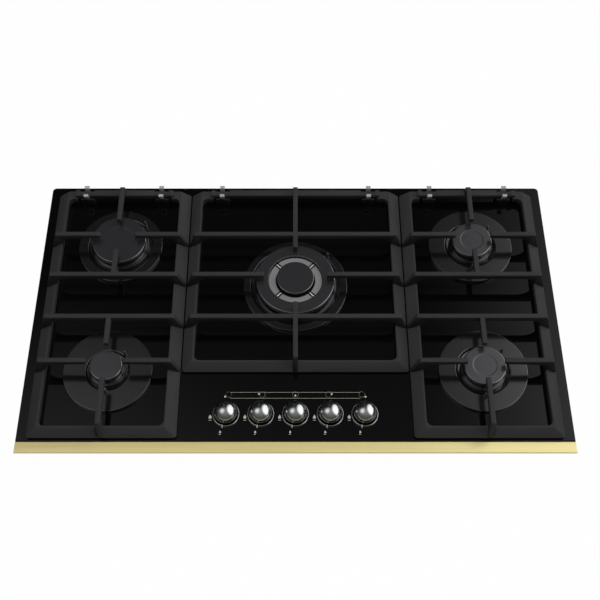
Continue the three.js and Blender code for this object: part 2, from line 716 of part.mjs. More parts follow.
function burners() {
  for (const burner of BURNERS) {
    spillPlate(burner, SPILL_PLATE_RADIUS);
    burnerBody(burner);
    burnerCap(burner, burner.cap, `burner_cap_${burner.name}`);
    burnerCup(burner);
  }
  spillPlate(WOK, WOK_PLATE_RADIUS);
  wokBody();
  wokFlameRing();
  wokRingCap();
  burnerCap(WOK, WOK_INNER_CAP_RADIUS, "burner_cap_wok");
  burnerCup(WOK);
}

// ---------------------------------------------------------------- pan supports
// Side view of a bar. It grows out of the frame at its start, arches up to a level underside,
// and either ends in a free tip or grows into the frame again at its end.
function barOutline(length, frameWidth, slope, endsFree) {
  const outline = new THREE.Shape();
  const top = GLASS_TOP + BAR_TOP;
  const underside = top - BAR_SPAN_HEIGHT;
  const lip = GLASS_TOP + FRAME_BASE + FRAME_LIP;
  const arch = frameWidth - OVERSHOOT;
  outline.moveTo(0, lip);
  outline.lineTo(arch, lip);
  outline.lineTo(arch, underside - ROOT_RADIUS);
  outline.absarc(arch + ROOT_RADIUS, underside - ROOT_RADIUS, ROOT_RADIUS, Math.PI, Math.PI / 2, true);
  if (endsFree) {
    outline.lineTo(length, top - BAR_TIP_HEIGHT);
    outline.lineTo(length, top - BAR_TIP_CHAMFER);
    outline.lineTo(length - BAR_TIP_CHAMFER, top);
  } else {
    const far = length - arch;
    outline.absarc(far - ROOT_RADIUS, underside - ROOT_RADIUS, ROOT_RADIUS, Math.PI / 2, 0, true);
    outline.lineTo(far, lip);
    outline.lineTo(length, lip);
    outline.lineTo(length - slope, top);
  }
  outline.lineTo(slope, top);
  outline.closePath();
  return outline;
}

// Side view of a bar that starts at a crossbar and ends in a free tip.
function spurOutline(length) {
  const outline = new THREE.Shape();
  const top = GLASS_TOP + BAR_TOP;
  outline.moveTo(0, top - BAR_SPAN_HEIGHT);
  outline.lineTo(length, top - BAR_TIP_HEIGHT);
  outline.lineTo(length, top - BAR_TIP_CHAMFER);
  outline.lineTo(length - BAR_TIP_CHAMFER, top);
  outline.lineTo(0, top);
  outline.closePath();
  return outline;
}

// The frame slopes outward at the front and at both sides, and stands upright at the back.
function frameBlank(x0, x1, y0, y1) {
  const base = GLASS_TOP + FRAME_BASE;
  const side = FRAME_SIDE_WIDTH - FRAME_CREST;
  const front = FRAME_FRONT_WIDTH - FRAME_CREST;
  const levels = [
    [0, 0, FRAME_HEEL, base],
    [0, 0, 0, base + FRAME_LIP],
    [side, front, 0, GLASS_TOP + FRAME_TOP],
  ];
  const points = [];
  for (const [insetX, insetFront, insetRear, z] of levels) {
    for (const x of [x0 + insetX, x1 - insetX]) {
      for (const y of [y0 + insetFront, y1 - insetRear]) {
        points.push(new THREE.Vector3(x, y, z));
      }
    }
  }
  return new ConvexGeometry(points);
}

// Pads cast under the frame, all in front of the rail so that they lift as the support tilts.
function supportFeet(middle, width, front) {
  const bottom = GLASS_TOP + SEAT_GAP;
  const top = GLASS_TOP + FRAME_BASE + FRAME_LIP;
  const pads = [];
  for (const side of [-1, 1]) {
    const x = middle + side * (width / 2 - FRAME_SIDE_WIDTH / 2);
    for (const y of [front + FOOT_INSET, SUPPORT_REAR - REAR_FOOT_INSET]) {
      pads.push(post(x, y, bottom, top, FOOT_RADIUS, COARSE_SEGMENTS));
    }
  }
  return pads;
}

// The rail is square, with a round journal where each clip holds it.
function tiltRail(middle, railHalf, clipOffset) {
  const axis = GLASS_TOP + RAIL_HEIGHT;
  const reach = railHalf + RAIL_ROOT;
  const near = clipOffset - JOURNAL_LENGTH / 2;
  const far = clipOffset + JOURNAL_LENGTH / 2;
  const half = RAIL_DEPTH / 2;
  const stretch = (x0, x1) =>
    block(
      middle + x0,
      middle + x1,
      RAIL_Y - half,
      RAIL_Y + half,
      axis - RAIL_RADIUS,
      axis + RAIL_RADIUS,
    );
  return [
    rodAlongX(middle - reach, middle + reach, RAIL_Y, axis, RAIL_RADIUS, COARSE_SEGMENTS),
    stretch(-reach, -far),
    stretch(-near, near),
    stretch(far, reach),
  ];
}

function supportFrame(middle, width, front, railHalf, clipOffset) {
  const x0 = middle - width / 2;
  const x1 = middle + width / 2;
  const blank = toSolid(frameBlank(x0, x1, front, SUPPORT_REAR));
  const low = GLASS_TOP + FRAME_BASE - OVERSHOOT;
  const high = GLASS_TOP + FRAME_TOP + OVERSHOOT;
  const opening = roundedRectangle(
    x0 + FRAME_SIDE_WIDTH,
    x1 - FRAME_SIDE_WIDTH,
    front + FRAME_FRONT_WIDTH,
    SUPPORT_REAR - FRAME_FRONT_WIDTH,
    FRAME_CORNER_RADIUS,
  );
  const railGap = block(
    middle - railHalf,
    middle + railHalf,
    SUPPORT_REAR - FRAME_FRONT_WIDTH - OVERSHOOT,
    SUPPORT_REAR + OVERSHOOT,
    low,
    high,
  );
  const ring = cut(blank, [slab(opening, low, high), railGap]);
  const rail = tiltRail(middle, railHalf, clipOffset);
  return ring.add(join([...rail, ...supportFeet(middle, width, front)]));
}

function crossbar(middle, width, y) {
  const outline = barOutline(width, FRAME_SIDE_WIDTH, BAR_END_SLOPE, false);
  return upright(outline, BAR_WIDTH, TO_RIGHT, middle - width / 2, y);
}

// Two fingers that point at a burner from the left and the right of the frame.
function sideFingers(middle, width, y, tip) {
  const outline = barOutline(width / 2 - tip, FRAME_SIDE_WIDTH, BAR_END_SLOPE, true);
  return [
    upright(outline, BAR_WIDTH, TO_RIGHT, middle - width / 2, y),
    upright(outline, BAR_WIDTH, TO_LEFT, middle + width / 2, y),
  ];
}

function frontFinger(middle, front, tip) {
  const outline = barOutline(tip - front, FRAME_FRONT_WIDTH, BAR_FRONT_SLOPE, true);
  return upright(outline, BAR_WIDTH, TO_REAR, middle, front);
}

// The rear finger rises from the rail, so it starts behind the rail's axis.
function rearFinger(middle, tip) {
  const start = RAIL_Y + RAIL_DEPTH / 2;
  const length = start - tip;
  const outline = new THREE.Shape();
  const top = GLASS_TOP + BAR_TOP;
  const underside = top - BAR_SPAN_HEIGHT;
  const foot = GLASS_TOP + RAIL_HEIGHT;
  const arch = RAIL_DEPTH - OVERSHOOT;
  const radius = underside - foot;
  outline.moveTo(0, foot);
  outline.lineTo(arch, foot);
  outline.absarc(arch + radius, foot, radius, Math.PI, Math.PI / 2, true);
  outline.lineTo(length, top - BAR_TIP_HEIGHT);
  outline.lineTo(length, top - BAR_TIP_CHAMFER);
  outline.lineTo(length - BAR_TIP_CHAMFER, top);
  outline.lineTo(BAR_FRONT_SLOPE, top);
  outline.lineTo(0, foot + RAIL_RADIUS);
  outline.closePath();
  return upright(outline, BAR_WIDTH, TO_FRONT, middle, start);
}

function spur(middle, start, tip) {
  const heading = tip > start ? TO_REAR : TO_FRONT;
  return upright(spurOutline(Math.abs(tip - start)), BAR_WIDTH, heading, middle, start);
}

function sideSupport(name, middle) {
  const width = SIDE_SUPPORT_WIDTH;
  const frame = supportFrame(middle, width, SUPPORT_FRONT, SIDE_RAIL_HALF, SIDE_CLIP_OFFSET);
  const bars = join([
    crossbar(middle, width, FRONT_CROSSBAR_ROW),
    crossbar(middle, width, REAR_CROSSBAR_ROW),
    ...sideFingers(middle, width, FRONT_ROW, TIP_RADIUS),
    ...sideFingers(middle, width, REAR_ROW, TIP_RADIUS),
    frontFinger(middle, SUPPORT_FRONT, FRONT_ROW - TIP_RADIUS),
    spur(middle, FRONT_CROSSBAR_ROW, FRONT_ROW + TIP_RADIUS),
    spur(middle, REAR_CROSSBAR_ROW, REAR_ROW - TIP_RADIUS),
    rearFinger(middle, REAR_ROW + TIP_RADIUS),
  ]);
  place(`pan_support_${name}`, frame.add(bars), CAST_IRON);
}

function centreSupport() {
  const width = CENTRE_SUPPORT_WIDTH;
  const frame = supportFrame(0, width, CENTRE_SUPPORT_FRONT, CENTRE_RAIL_HALF, CENTRE_CLIP_OFFSET);
  const bars = join([
    crossbar(0, width, FRONT_CROSSBAR_ROW),
    crossbar(0, width, REAR_ROW),
    ...sideFingers(0, width, WOK_ROW, WOK_TIP_RADIUS),
    frontFinger(0, CENTRE_SUPPORT_FRONT, WOK_ROW - WOK_TIP_RADIUS),
    rearFinger(0, WOK_ROW + WOK_TIP_RADIUS),
  ]);
  place("pan_support_centre", frame.add(bars), CAST_IRON);
}

// The block of a clip stands on the glass and cradles the rail from below.
function clipBlock(x) {
  const cradle = RAIL_RADIUS + RUNNING_GAP;
  const axis = GLASS_TOP + RAIL_HEIGHT;
  const base = GLASS_TOP + SEAT_GAP;
  const top = GLASS_TOP + CLIP_BLOCK_HEIGHT;
  const half = CLIP_BLOCK_LENGTH / 2;
  const start = Math.asin((axis - top) / cradle);
  const outline = new THREE.Shape();
  outline.moveTo(-half, base);
  outline.lineTo(half, base);
  outline.lineTo(half, top - CLIP_BLOCK_CHAMFER);
  outline.lineTo(half - CLIP_BLOCK_CHAMFER, top);
  outline.lineTo(cradle * Math.cos(start), top);
  outline.absarc(0, axis, cradle, -start, -Math.PI + start, true);
  outline.lineTo(-half + CLIP_BLOCK_CHAMFER, top);
  outline.lineTo(-half, top - CLIP_BLOCK_CHAMFER);
  outline.closePath();
  return upright(outline, CLIP_BLOCK_WIDTH, TO_REAR, x, RAIL_Y);
}

// A leg of the spring strap stands beside the rail and curls outward, so that the rail snaps in.
function clipLeg(x, side) {
  const inner = RAIL_RADIUS + RUNNING_GAP;
  const outer = inner + CLIP_SPRING_THICKNESS;
  const curl = GLASS_TOP + RAIL_HEIGHT + CLIP_CURL_RISE;
  const half = CLIP_SPRING_WIDTH / 2;
  const [y0, y1] = [side * inner, side * outer].sort((a, b) => a - b);
  const middle = RAIL_Y + side * (inner + CLIP_CURL_RADIUS);
  return [
    block(x - half, x + half, RAIL_Y + y0, RAIL_Y + y1, GLASS_TOP + CLIP_BLOCK_HEIGHT / 2, curl),
    rodAlongX(x - half, x + half, middle, curl, CLIP_CURL_RADIUS, COARSE_SEGMENTS),
  ];
}

function railClips() {
  const places = {
    left_outer: -SIDE_BURNER_OFFSET - SIDE_CLIP_OFFSET,
    left_inner: -SIDE_BURNER_OFFSET + SIDE_CLIP_OFFSET,
    centre_left: -CENTRE_CLIP_OFFSET,
    centre_right: CENTRE_CLIP_OFFSET,
    right_inner: SIDE_BURNER_OFFSET - SIDE_CLIP_OFFSET,
    right_outer: SIDE_BURNER_OFFSET + SIDE_CLIP_OFFSET,
  };
  for (const [name, x] of Object.entries(places)) {
    place(`rail_clip_${name}`, join([clipBlock(x), ...clipLeg(x, -1), ...clipLeg(x, 1)]), CHROME);
  }
}

function panSupports() {
  sideSupport("left", -SIDE_BURNER_OFFSET);
  centreSupport();
  sideSupport("right", SIDE_BURNER_OFFSET);
  railClips();
}

// ---------------------------------------------------------------- knobs and valves
function knobX(index) {
  return (index - (KNOB_NAMES.length - 1) / 2) * KNOB_PITCH;
}

function spindleOutline(radius, flat) {
  const half = Math.acos((radius - flat) / radius);
  const outline = new THREE.Shape();
  outline.absarc(0, 0, radius, -Math.PI / 2 + half, 1.5 * Math.PI - half);
  outline.closePath();
  return outline;
}

// The knob is a ball cut off near its foot, with a mark at the back of the crown.
function knob(name, x) {
  const centre = GLASS_TOP + KNOB_CENTRE_HEIGHT;
  const base = GLASS_TOP + KNOB_BASE_HEIGHT;
  const low = Math.asin((base - centre) / KNOB_RADIUS);
  const profile = [[0, base]];
  for (let step = 0; step <= KNOB_RINGS; step += 1) {
    const angle = low + (step / KNOB_RINGS) * (Math.PI / 2 - low);
    const radius = step === KNOB_RINGS ? 0 : KNOB_RADIUS * Math.cos(angle);
    profile.push([radius, centre + KNOB_RADIUS * Math.sin(angle)]);
  }
  const ball = toSolid(turned(profile, ROUND_SEGMENTS, x, KNOB_Y));
  const socket = slab(
    spindleOutline(SPINDLE_RADIUS + SEAT_GAP, SPINDLE_FLAT),
    base - OVERSHOOT,
    GLASS_TOP + SPINDLE_TOP + SEAT_GAP,
  ).translate(x, KNOB_Y, 0);
  const markAngle = THREE.MathUtils.degToRad(KNOB_MARK_ANGLE);
  const markTop = centre + KNOB_RADIUS + OVERSHOOT;
  const markStart = KNOB_Y + KNOB_RADIUS * Math.sin(markAngle);
  const markFloor = centre + KNOB_RADIUS * Math.cos(markAngle) - KNOB_MARK_DEPTH;
  const half = KNOB_MARK_WIDTH / 2;
  const mark = block(x - half, x + half, markStart, markStart + KNOB_RADIUS, markFloor, markTop);
  place(`knob_${name}`, cut(ball, [socket, mark]), CHROME);
}

function spindle(name, x) {
  const boreFloor = VALVE_BASE + VALVE_HEIGHT - PLUG_HEIGHT + PLUG_FLOOR;
  const bottom = boreFloor + KNOB_TRAVEL + RUNNING_GAP;
  const shaft = slab(spindleOutline(SPINDLE_RADIUS, SPINDLE_FLAT), bottom, GLASS_TOP + SPINDLE_TOP);
  place(`spindle_${name}`, shaft.translate(x, KNOB_Y, 0), STEEL);
}

function valvePlug(name, x) {
  const top = VALVE_BASE + VALVE_HEIGHT;
  const bottom = top - PLUG_HEIGHT;
  const bore = SPINDLE_RADIUS + SEAT_GAP;
  const boreFloor = bottom + PLUG_FLOOR;
  const profile = [
    [0, bottom],
    [PLUG_RADIUS - PLUG_TAPER, bottom],
    [PLUG_RADIUS, top],
    [bore, top],
    [bore, boreFloor],
    [0, boreFloor],
  ];
  place(`valve_plug_${name}`, turned(profile, COARSE_SEGMENTS, x, KNOB_Y), BRASS);
}

function valveBody(x) {
  const half = VALVE_SIZE / 2;
  const top = VALVE_BASE + VALVE_HEIGHT;
  const inner = KNOB_Y + half - OVERSHOOT;
  const outlet = KNOB_Y + half + SPIGOT_LENGTH;
  return [
    block(x - half, x + half, KNOB_Y - half, KNOB_Y + half, VALVE_BASE, top),
    rodAlongY(x, inner, outlet, TUBE_LEVEL, SPIGOT_RADIUS, TUBE_SIDES),
  ];
}

function valveSeat(x) {
  const top = VALVE_BASE + VALVE_HEIGHT;
  const bottom = top - PLUG_HEIGHT - RUNNING_GAP;
  return post(x, KNOB_Y, bottom, top + OVERSHOOT, PLUG_RADIUS + RUNNING_GAP, COARSE_SEGMENTS);
}

// A folded rail on the floor of the box carries the valves.
function valveRail() {
  const top = VALVE_BASE - SEAT_GAP;
  const floor = SHEET + SEAT_GAP;
  const half = VALVE_SIZE / 2;
  const outline = new THREE.Shape();
  outline.moveTo(-half, floor);
  outline.lineTo(-half + RAIL_SHEET, floor);
  outline.lineTo(-half + RAIL_SHEET, top - RAIL_SHEET);
  outline.lineTo(half - RAIL_SHEET, top - RAIL_SHEET);
  outline.lineTo(half - RAIL_SHEET, floor);
  outline.lineTo(half, floor);
  outline.lineTo(half, top);
  outline.lineTo(-half, top);
  outline.closePath();
  const length = (KNOB_NAMES.length - 1) * KNOB_PITCH + VALVE_SIZE;
  place("valve_rail", upright(outline, length, TO_REAR, 0, KNOB_Y), ZINC_SHEET);
}

function bezel(name, x) {
  const base = GLASS_TOP + SEAT_GAP;
  const top = base + BEZEL_HEIGHT;
  const lip = KNOB_RADIUS + RUNNING_GAP;
  const profile = [
    [lip, base],
    [BEZEL_RADIUS, base],
    [BEZEL_RADIUS, top - BEZEL_EDGE],
    [BEZEL_RADIUS - BEZEL_EDGE, top],
    [lip, top],
  ];
  place(`knob_bezel_${name}`, turned(profile, ROUND_SEGMENTS, x, KNOB_Y), CHROME);
}

function knobsAndValves() {
  KNOB_NAMES.forEach((name, index) => {
    const x = knobX(index);
    knob(name, x);
    spindle(name, x);
    valvePlug(name, x);
    bezel(name, x);
  });
  valveRail();
}

// ---------------------------------------------------------------- gas way and wiring pieces
// The manifold joins the five valve bodies and runs to the inlet at the back.
function gasManifold() {
  const start = knobX(0) - VALVE_SIZE / 2;
  const end = BOX_REAR - SHEET - INLET_TAIL - SEAT_GAP;
  const z = MANIFOLD_LEVEL;
  const corner = INLET_OFFSET - MANIFOLD_BEND;
  const turn = MANIFOLD_Y + MANIFOLD_BEND;
  const bend = new THREE.QuadraticBezierCurve3(
    new THREE.Vector3(corner - OVERSHOOT, MANIFOLD_Y, z),
    new THREE.Vector3(INLET_OFFSET, MANIFOLD_Y, z),
    new THREE.Vector3(INLET_OFFSET, turn + OVERSHOOT, z),
  );
  const pieces = [
    rodAlongX(start, corner, MANIFOLD_Y, z, MANIFOLD_RADIUS, MANIFOLD_SIDES),
    rodAlongY(INLET_OFFSET, turn, end, z, MANIFOLD_RADIUS, MANIFOLD_SIDES),
    sweptRound(bend, MANIFOLD_RADIUS, MANIFOLD_SIDES, 2 * ARC_DIVISIONS),
    ...KNOB_NAMES.flatMap((_, index) => valveBody(knobX(index))),
  ];
  const seats = KNOB_NAMES.map((_, index) => valveSeat(knobX(index)));
  place("gas_manifold", cut(join(pieces), seats), BRASS);
}

function hexOutline(width) {
  const corners = Array.from({ length: 6 }, (_, side) => polar(width / Math.sqrt(3), (side * Math.PI) / 3));
  return new THREE.Shape(corners);
}

// A threaded stub with a hexagon that bears on the outside of the rear wall.
function stub(x, radius, bore, length, tail) {
  const start = BOX_REAR - SHEET - tail;
  const end = BOX_REAR + length;
  const z = MANIFOLD_LEVEL;
  const nut = slab(hexOutline(HEX_WIDTH), 0, HEX_THICKNESS).rotateX(-Math.PI / 2);
  nut.translate(x, BOX_REAR + SEAT_GAP, z);
  const solid = join([rodAlongY(x, start, end, z, radius, COARSE_SEGMENTS), nut]);
  return cut(solid, [rodAlongY(x, start - OVERSHOOT, end + OVERSHOOT, z, bore, COARSE_SEGMENTS)]);
}

function sparkGenerator() {
  const x = GENERATOR_OFFSET;
  const y = BOX_REAR - GENERATOR_INSET;
  const floor = SHEET + SEAT_GAP;
  const top = floor + GENERATOR_HEIGHT;
  const halfLength = GENERATOR_LENGTH / 2;
  const halfDepth = GENERATOR_DEPTH / 2;
  const body = block(x - halfLength, x + halfLength, y - halfDepth, y + halfDepth, floor, top);
  const reach = halfLength + GENERATOR_FOOT_LENGTH;
  const halfFoot = GENERATOR_FOOT_WIDTH / 2;
  const feet = block(x - reach, x + reach, y - halfFoot, y + halfFoot, floor, floor + RAIL_SHEET);
  const pitch = GENERATOR_LENGTH / (GENERATOR_TERMINALS + 1);
  const terminals = Array.from({ length: GENERATOR_TERMINALS }, (_, index) => {
    const terminal = x - halfLength + (index + 1) * pitch;
    return post(terminal, y, top - OVERSHOOT, top + TERMINAL_HEIGHT, TERMINAL_RADIUS, TUBE_SIDES);
  });
  place("spark_generator", join([body, feet, ...terminals]), BLACK_PLASTIC);
}

function services() {
  gasManifold();
  const inlet = stub(INLET_OFFSET, INLET_RADIUS, INLET_BORE, INLET_LENGTH, INLET_TAIL);
  const gland = stub(-INLET_OFFSET, GLAND_RADIUS, GLAND_BORE, GLAND_LENGTH, GLAND_TAIL);
  place("gas_inlet", inlet, BRASS);
  place("cable_gland", gland, BLACK_PLASTIC);
  sparkGenerator();
}

glassTop();
frontTrim();
worktopSeal();
burnerBox();
burners();
panSupports();
knobsAndValves();
services();

export default cooktop;
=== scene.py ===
# %% [markdown]
# # Dressing a built-in gas cooktop
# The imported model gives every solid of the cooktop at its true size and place: a sheet of black
# glass, five burners, three cast pan supports, five knobs and the works below. This lesson keeps
# that frame still and gives it the forms and finishes that the eye expects: soft cast edges,
# rows of flame ports, turned caps, sprung clips, chromed knobs and a brushed metal strip.

# %% Load the fixed frame
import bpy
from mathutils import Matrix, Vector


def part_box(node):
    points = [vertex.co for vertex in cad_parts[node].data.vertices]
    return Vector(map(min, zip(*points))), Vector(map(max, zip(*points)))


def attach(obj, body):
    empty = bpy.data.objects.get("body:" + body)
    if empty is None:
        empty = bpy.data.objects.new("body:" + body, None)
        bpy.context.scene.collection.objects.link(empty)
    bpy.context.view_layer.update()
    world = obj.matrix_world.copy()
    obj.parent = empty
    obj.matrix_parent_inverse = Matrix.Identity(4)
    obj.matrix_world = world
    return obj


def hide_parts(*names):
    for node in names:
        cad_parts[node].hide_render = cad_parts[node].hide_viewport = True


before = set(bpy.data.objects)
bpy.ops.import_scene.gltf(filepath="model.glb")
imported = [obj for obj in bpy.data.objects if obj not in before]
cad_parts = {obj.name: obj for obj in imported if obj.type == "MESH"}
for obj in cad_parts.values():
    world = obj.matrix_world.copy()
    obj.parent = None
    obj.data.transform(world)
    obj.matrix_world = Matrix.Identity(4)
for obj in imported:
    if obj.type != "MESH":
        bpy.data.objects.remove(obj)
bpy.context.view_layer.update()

# %% Shared tools and units
import math
import bmesh
import bpy
from mathutils import Matrix, Vector

MM = 0.001
scene = bpy.context.scene


def mm(x, y, z):
    """A point given in millimetres as a vector in metres."""
    return Vector((x, y, z)) * MM


def object_from(name, bm):
    """A finished bmesh becomes an object in the scene. The bmesh is freed."""
    mesh = bpy.data.meshes.new(name)
    bm.to_mesh(mesh)
    bm.free()
    made = bpy.data.objects.new(name, mesh)
    scene.collection.objects.link(made)
    return made


# %% [markdown]
# ## The camera
# The cooktop is seen from the front and from well above, about 60 degrees down, through a long
# lens, so that the far edge is only a little narrower than the near one. The lens and the pitch
# come from the four corners of the glass, whose real places are known. A small sideways shift
# puts the object as far off the middle of the picture as it was.

# %% Place the camera
LENS = 58.3  # mm
CAMERA_PITCH = 29.7  # degrees away from looking straight down
SIDE_SHIFT = 0.0077  # of the picture's width

camera_data = bpy.data.cameras.new("camera")
camera_data.sensor_width = 36
camera_data.lens = LENS
camera_data.shift_x = SIDE_SHIFT
camera = bpy.data.objects.new("camera", camera_data)
camera.location = (0, -0.8157, 1.5202)
camera.rotation_euler = (math.radians(CAMERA_PITCH), 0, 0)
scene.collection.objects.link(camera)
scene.camera = camera
scene.view_settings.view_transform = "Standard"
print("camera with a lens of", LENS, "mm")

# %% [markdown]
# ## The floor and the room
# The background is pure white. If lamps had to make it so, the black pieces would be flooded
# with light, so the floor itself glows for the camera and for mirror rays, with a part of its
# own lit colour mixed in to keep the shadow. The room above stays dim, since the glass mirrors
# it. Two soft boxes stand in it, a tall one on the right and a small one on the left, and the
# chromed knobs show both, with a faint glow above. All are painted on the world by direction, so
# that every knob shows them at the same place, as boxes that stand far away do. They count
# little for matt surfaces, so that the lamp alone draws the shadows.

# %% Helpers for nodes
def link(tree, source, target):
    """Joins two sockets of a node tree, or sets the target when the source is a plain value."""
    if isinstance(source, bpy.types.NodeSocket):
        tree.links.new(source, target)
    else:
        target.default_value = source


def add_node(tree, kind, **values):
    """A shader node with its inputs joined or set. Underscores stand for spaces."""
    node = tree.nodes.new(f"ShaderNode{kind}")
    for socket, value in values.items():
        link(tree, value, node.inputs[socket.replace("_", " ")])
    return node


def maths(tree, operation, first, second):
    """The result of a Math node."""
    node = add_node(tree, "Math")
    node.operation = operation
    link(tree, first, node.inputs[0])
    link(tree, second, node.inputs[1])
    return node.outputs[0]


def map_range(tree, value, source, target, curve="LINEAR"):
    """A value carried from one range to another."""
    limits = dict(From_Min=source[0], From_Max=source[1], To_Min=target[0], To_Max=target[1])
    node = add_node(tree, "MapRange", Value=value, **limits)
    node.interpolation_type = curve
    return node.outputs["Result"]


def mix_colours(tree, factor, first, second, blend="MIX"):
    """The mix of two colours."""
    node = add_node(tree, "Mix")
    node.data_type = "RGBA"
    node.blend_type = blend
    for given, socket in ((factor, "Factor"), (first, "A"), (second, "B")):
        link(tree, given, node.inputs[socket])
    return node.outputs["Result"]


def mix_shaders(tree, factor, first, second, output):
    """Sends the mix of two shaders to an output."""
    node = add_node(tree, "MixShader")
    for source, target in zip((factor, first, second), node.inputs):
        link(tree, source, target)
    link(tree, node.outputs[0], tree.nodes[output].inputs["Surface"])


def bare_material(name):
    """A material without its first shader, returned with its tree."""
    material = bpy.data.materials.new(name)
    material.use_nodes = True
    tree = material.node_tree
    tree.nodes.remove(tree.nodes["Principled BSDF"])
    return material, tree


print("node helpers ready")

# %% Make the floor
FLOOR_SIZE = 40
FLOOR_GLOW = 0.985  # share of the floor's own light in what the camera sees


def floor_material():
    """Matt white for light that bounces, mostly glowing white for camera and mirror rays."""
    material, tree = bare_material("white_floor")
    matt = add_node(tree, "BsdfDiffuse", Color=(0.6, 0.6, 0.6, 1))
    glow = add_node(tree, "Emission", Strength=1)
    rays = add_node(tree, "LightPath")
    seen = maths(tree, "ADD", rays.outputs["Is Camera Ray"], rays.outputs["Is Glossy Ray"])
    share = maths(tree, "MULTIPLY", seen, FLOOR_GLOW)
    mix_shaders(tree, share, matt.outputs[0], glow.outputs[0], "Material Output")
    return material


floor_form = bmesh.new()
bmesh.ops.create_grid(floor_form, x_segments=1, y_segments=1, size=FLOOR_SIZE / 2)
floor = object_from("floor", floor_form)
floor.data.materials.append(floor_material())
floor.location.z = -0.0005
print("floor", FLOOR_SIZE, "m wide")

# %% Paint a soft box on the room
def soft_box(tree, towards, centre, near, far, strength):
    """A glow round a direction. near and far are distances on a sphere of radius 1."""
    offset = add_node(tree, "VectorMath")
    offset.operation = "DISTANCE"
    offset.inputs[1].default_value = centre
    link(tree, towards, offset.inputs[0])
    return map_range(tree, offset.outputs["Value"], (near, far), (strength, 0), "SMOOTHSTEP")


RIGHT_BOX = dict(centre=(0.88, 0.19, 0.44), near=0.54, far=0.92, strength=1.8)
LEFT_BOX = dict(centre=(-0.535, -0.148, 0.833), near=0.10, far=0.58, strength=1.1)
TOP_GLOW = dict(centre=(-0.27, 0.22, 0.94), near=0, far=0.32, strength=0.34)
print("soft boxes towards", RIGHT_BOX["centre"], "and", LEFT_BOX["centre"])

# %% Paint the dim room
ROOM_BEHIND = 0.04  # brightness that the glass mirrors
ROOM_FRONT = 0.36
ROOM_TURN = (0.5, -0.05)  # where, from back to front, one becomes the other
ROOM_HORIZON = 0.2  # share of it that is left at the horizon


def room_tone(tree, towards):
    """The dim room: brighter in front than behind, and brighter above than at the horizon."""
    axes = add_node(tree, "SeparateXYZ", Vector=towards)
    depth = map_range(tree, axes.outputs["Y"], ROOM_TURN, (ROOM_BEHIND, ROOM_FRONT))
    height = map_range(tree, axes.outputs["Z"], (0, 1), (ROOM_HORIZON, 1))
    return maths(tree, "MULTIPLY", depth, height)


print("room", ROOM_BEHIND, "behind,", ROOM_FRONT, "in front")

# %% Make the room
MATT_SHARE = 0.2  # share of the room that lights matt surfaces


def room():
    """White for the camera. Every other ray meets the dim room and its soft boxes."""
    world = bpy.data.worlds.new("room")
    world.use_nodes = True
    tree = world.node_tree
    towards = add_node(tree, "TexCoord").outputs["Generated"]
    rays = add_node(tree, "LightPath")
    level = room_tone(tree, towards)
    for box in (RIGHT_BOX, LEFT_BOX, TOP_GLOW):
        level = maths(tree, "ADD", level, soft_box(tree, towards, **box))
    share = map_range(tree, rays.outputs["Is Diffuse Ray"], (0, 1), (1, MATT_SHARE))
    dim = tree.nodes["Background"]
    dim.inputs["Color"].default_value = (0.97, 0.98, 1, 1)
    link(tree, maths(tree, "MULTIPLY", level, share), dim.inputs["Strength"])
    white = add_node(tree, "Background", Color=(1, 1, 1, 1))
    mix_shaders(
        tree, rays.outputs["Is Camera Ray"], dim.outputs[0], white.outputs[0], "World Output"
    )
    return world


scene.world = room()
print("matt surfaces take", MATT_SHARE, "of the room's light")

# %% [markdown]
# ## The lamp and the cards
# The tops of the bars are much brighter than their fronts, and a short crisp shadow lies
# straight below each finger, so the main light is a small lamp overhead. It is kept out of
# mirror rays, because a photographer hangs it where nothing polished shows it. Low grey cards
# lie under the cooktop and stand round it for the same reason: without them the polished knobs
# would show the white floor as a bright smile. Only mirror rays meet the cards.

# %% Hang the lamp
LAMP_HEIGHT = 2.25
LAMP_POWER = 37

lamp_data = bpy.data.lights.new("overhead_lamp", "AREA")
lamp_data.shape = "RECTANGLE"
lamp_data.size = 0.36
lamp_data.size_y = 0.3
lamp_data.energy = LAMP_POWER
overhead = bpy.data.objects.new("overhead_lamp", lamp_data)
overhead.location = (0.05, 0.05, LAMP_HEIGHT)
overhead.visible_glossy = False
scene.collection.objects.link(overhead)
print("lamp of", LAMP_POWER, "W at", LAMP_HEIGHT, "m")

# %% Stand the cards
CARD_REACH = (0.95, 0.75)  # half of the tray's width and depth
CARD_HEIGHT = 0.12
CARD_TONE = 0.12


def card_material():
    """An even dark grey that takes no light."""
    material, tree = bare_material("grey_card")
    tone = add_node(tree, "Emission", Strength=CARD_TONE)
    link(tree, tone.outputs[0], tree.nodes["Material Output"].inputs["Surface"])
    return material


card_form = bmesh.new()
bmesh.ops.create_cube(card_form, size=1)
lid = [face for face in card_form.faces if face.normal.z > 0.5]
bmesh.ops.delete(card_form, geom=lid, context="FACES_ONLY")
card_size = Vector((2 * CARD_REACH[0], 2 * CARD_REACH[1], CARD_HEIGHT))
bmesh.ops.scale(card_form, vec=card_size, verts=card_form.verts[:])
bmesh.ops.translate(card_form, vec=(0, 0, CARD_HEIGHT / 2 - 0.0003), verts=card_form.verts[:])
cards = object_from("grey_cards", card_form)
cards.data.materials.append(card_material())
cards.visible_camera = False
cards.visible_diffuse = False
cards.visible_transmission = False
cards.visible_shadow = False
print("cards", CARD_HEIGHT, "m high")
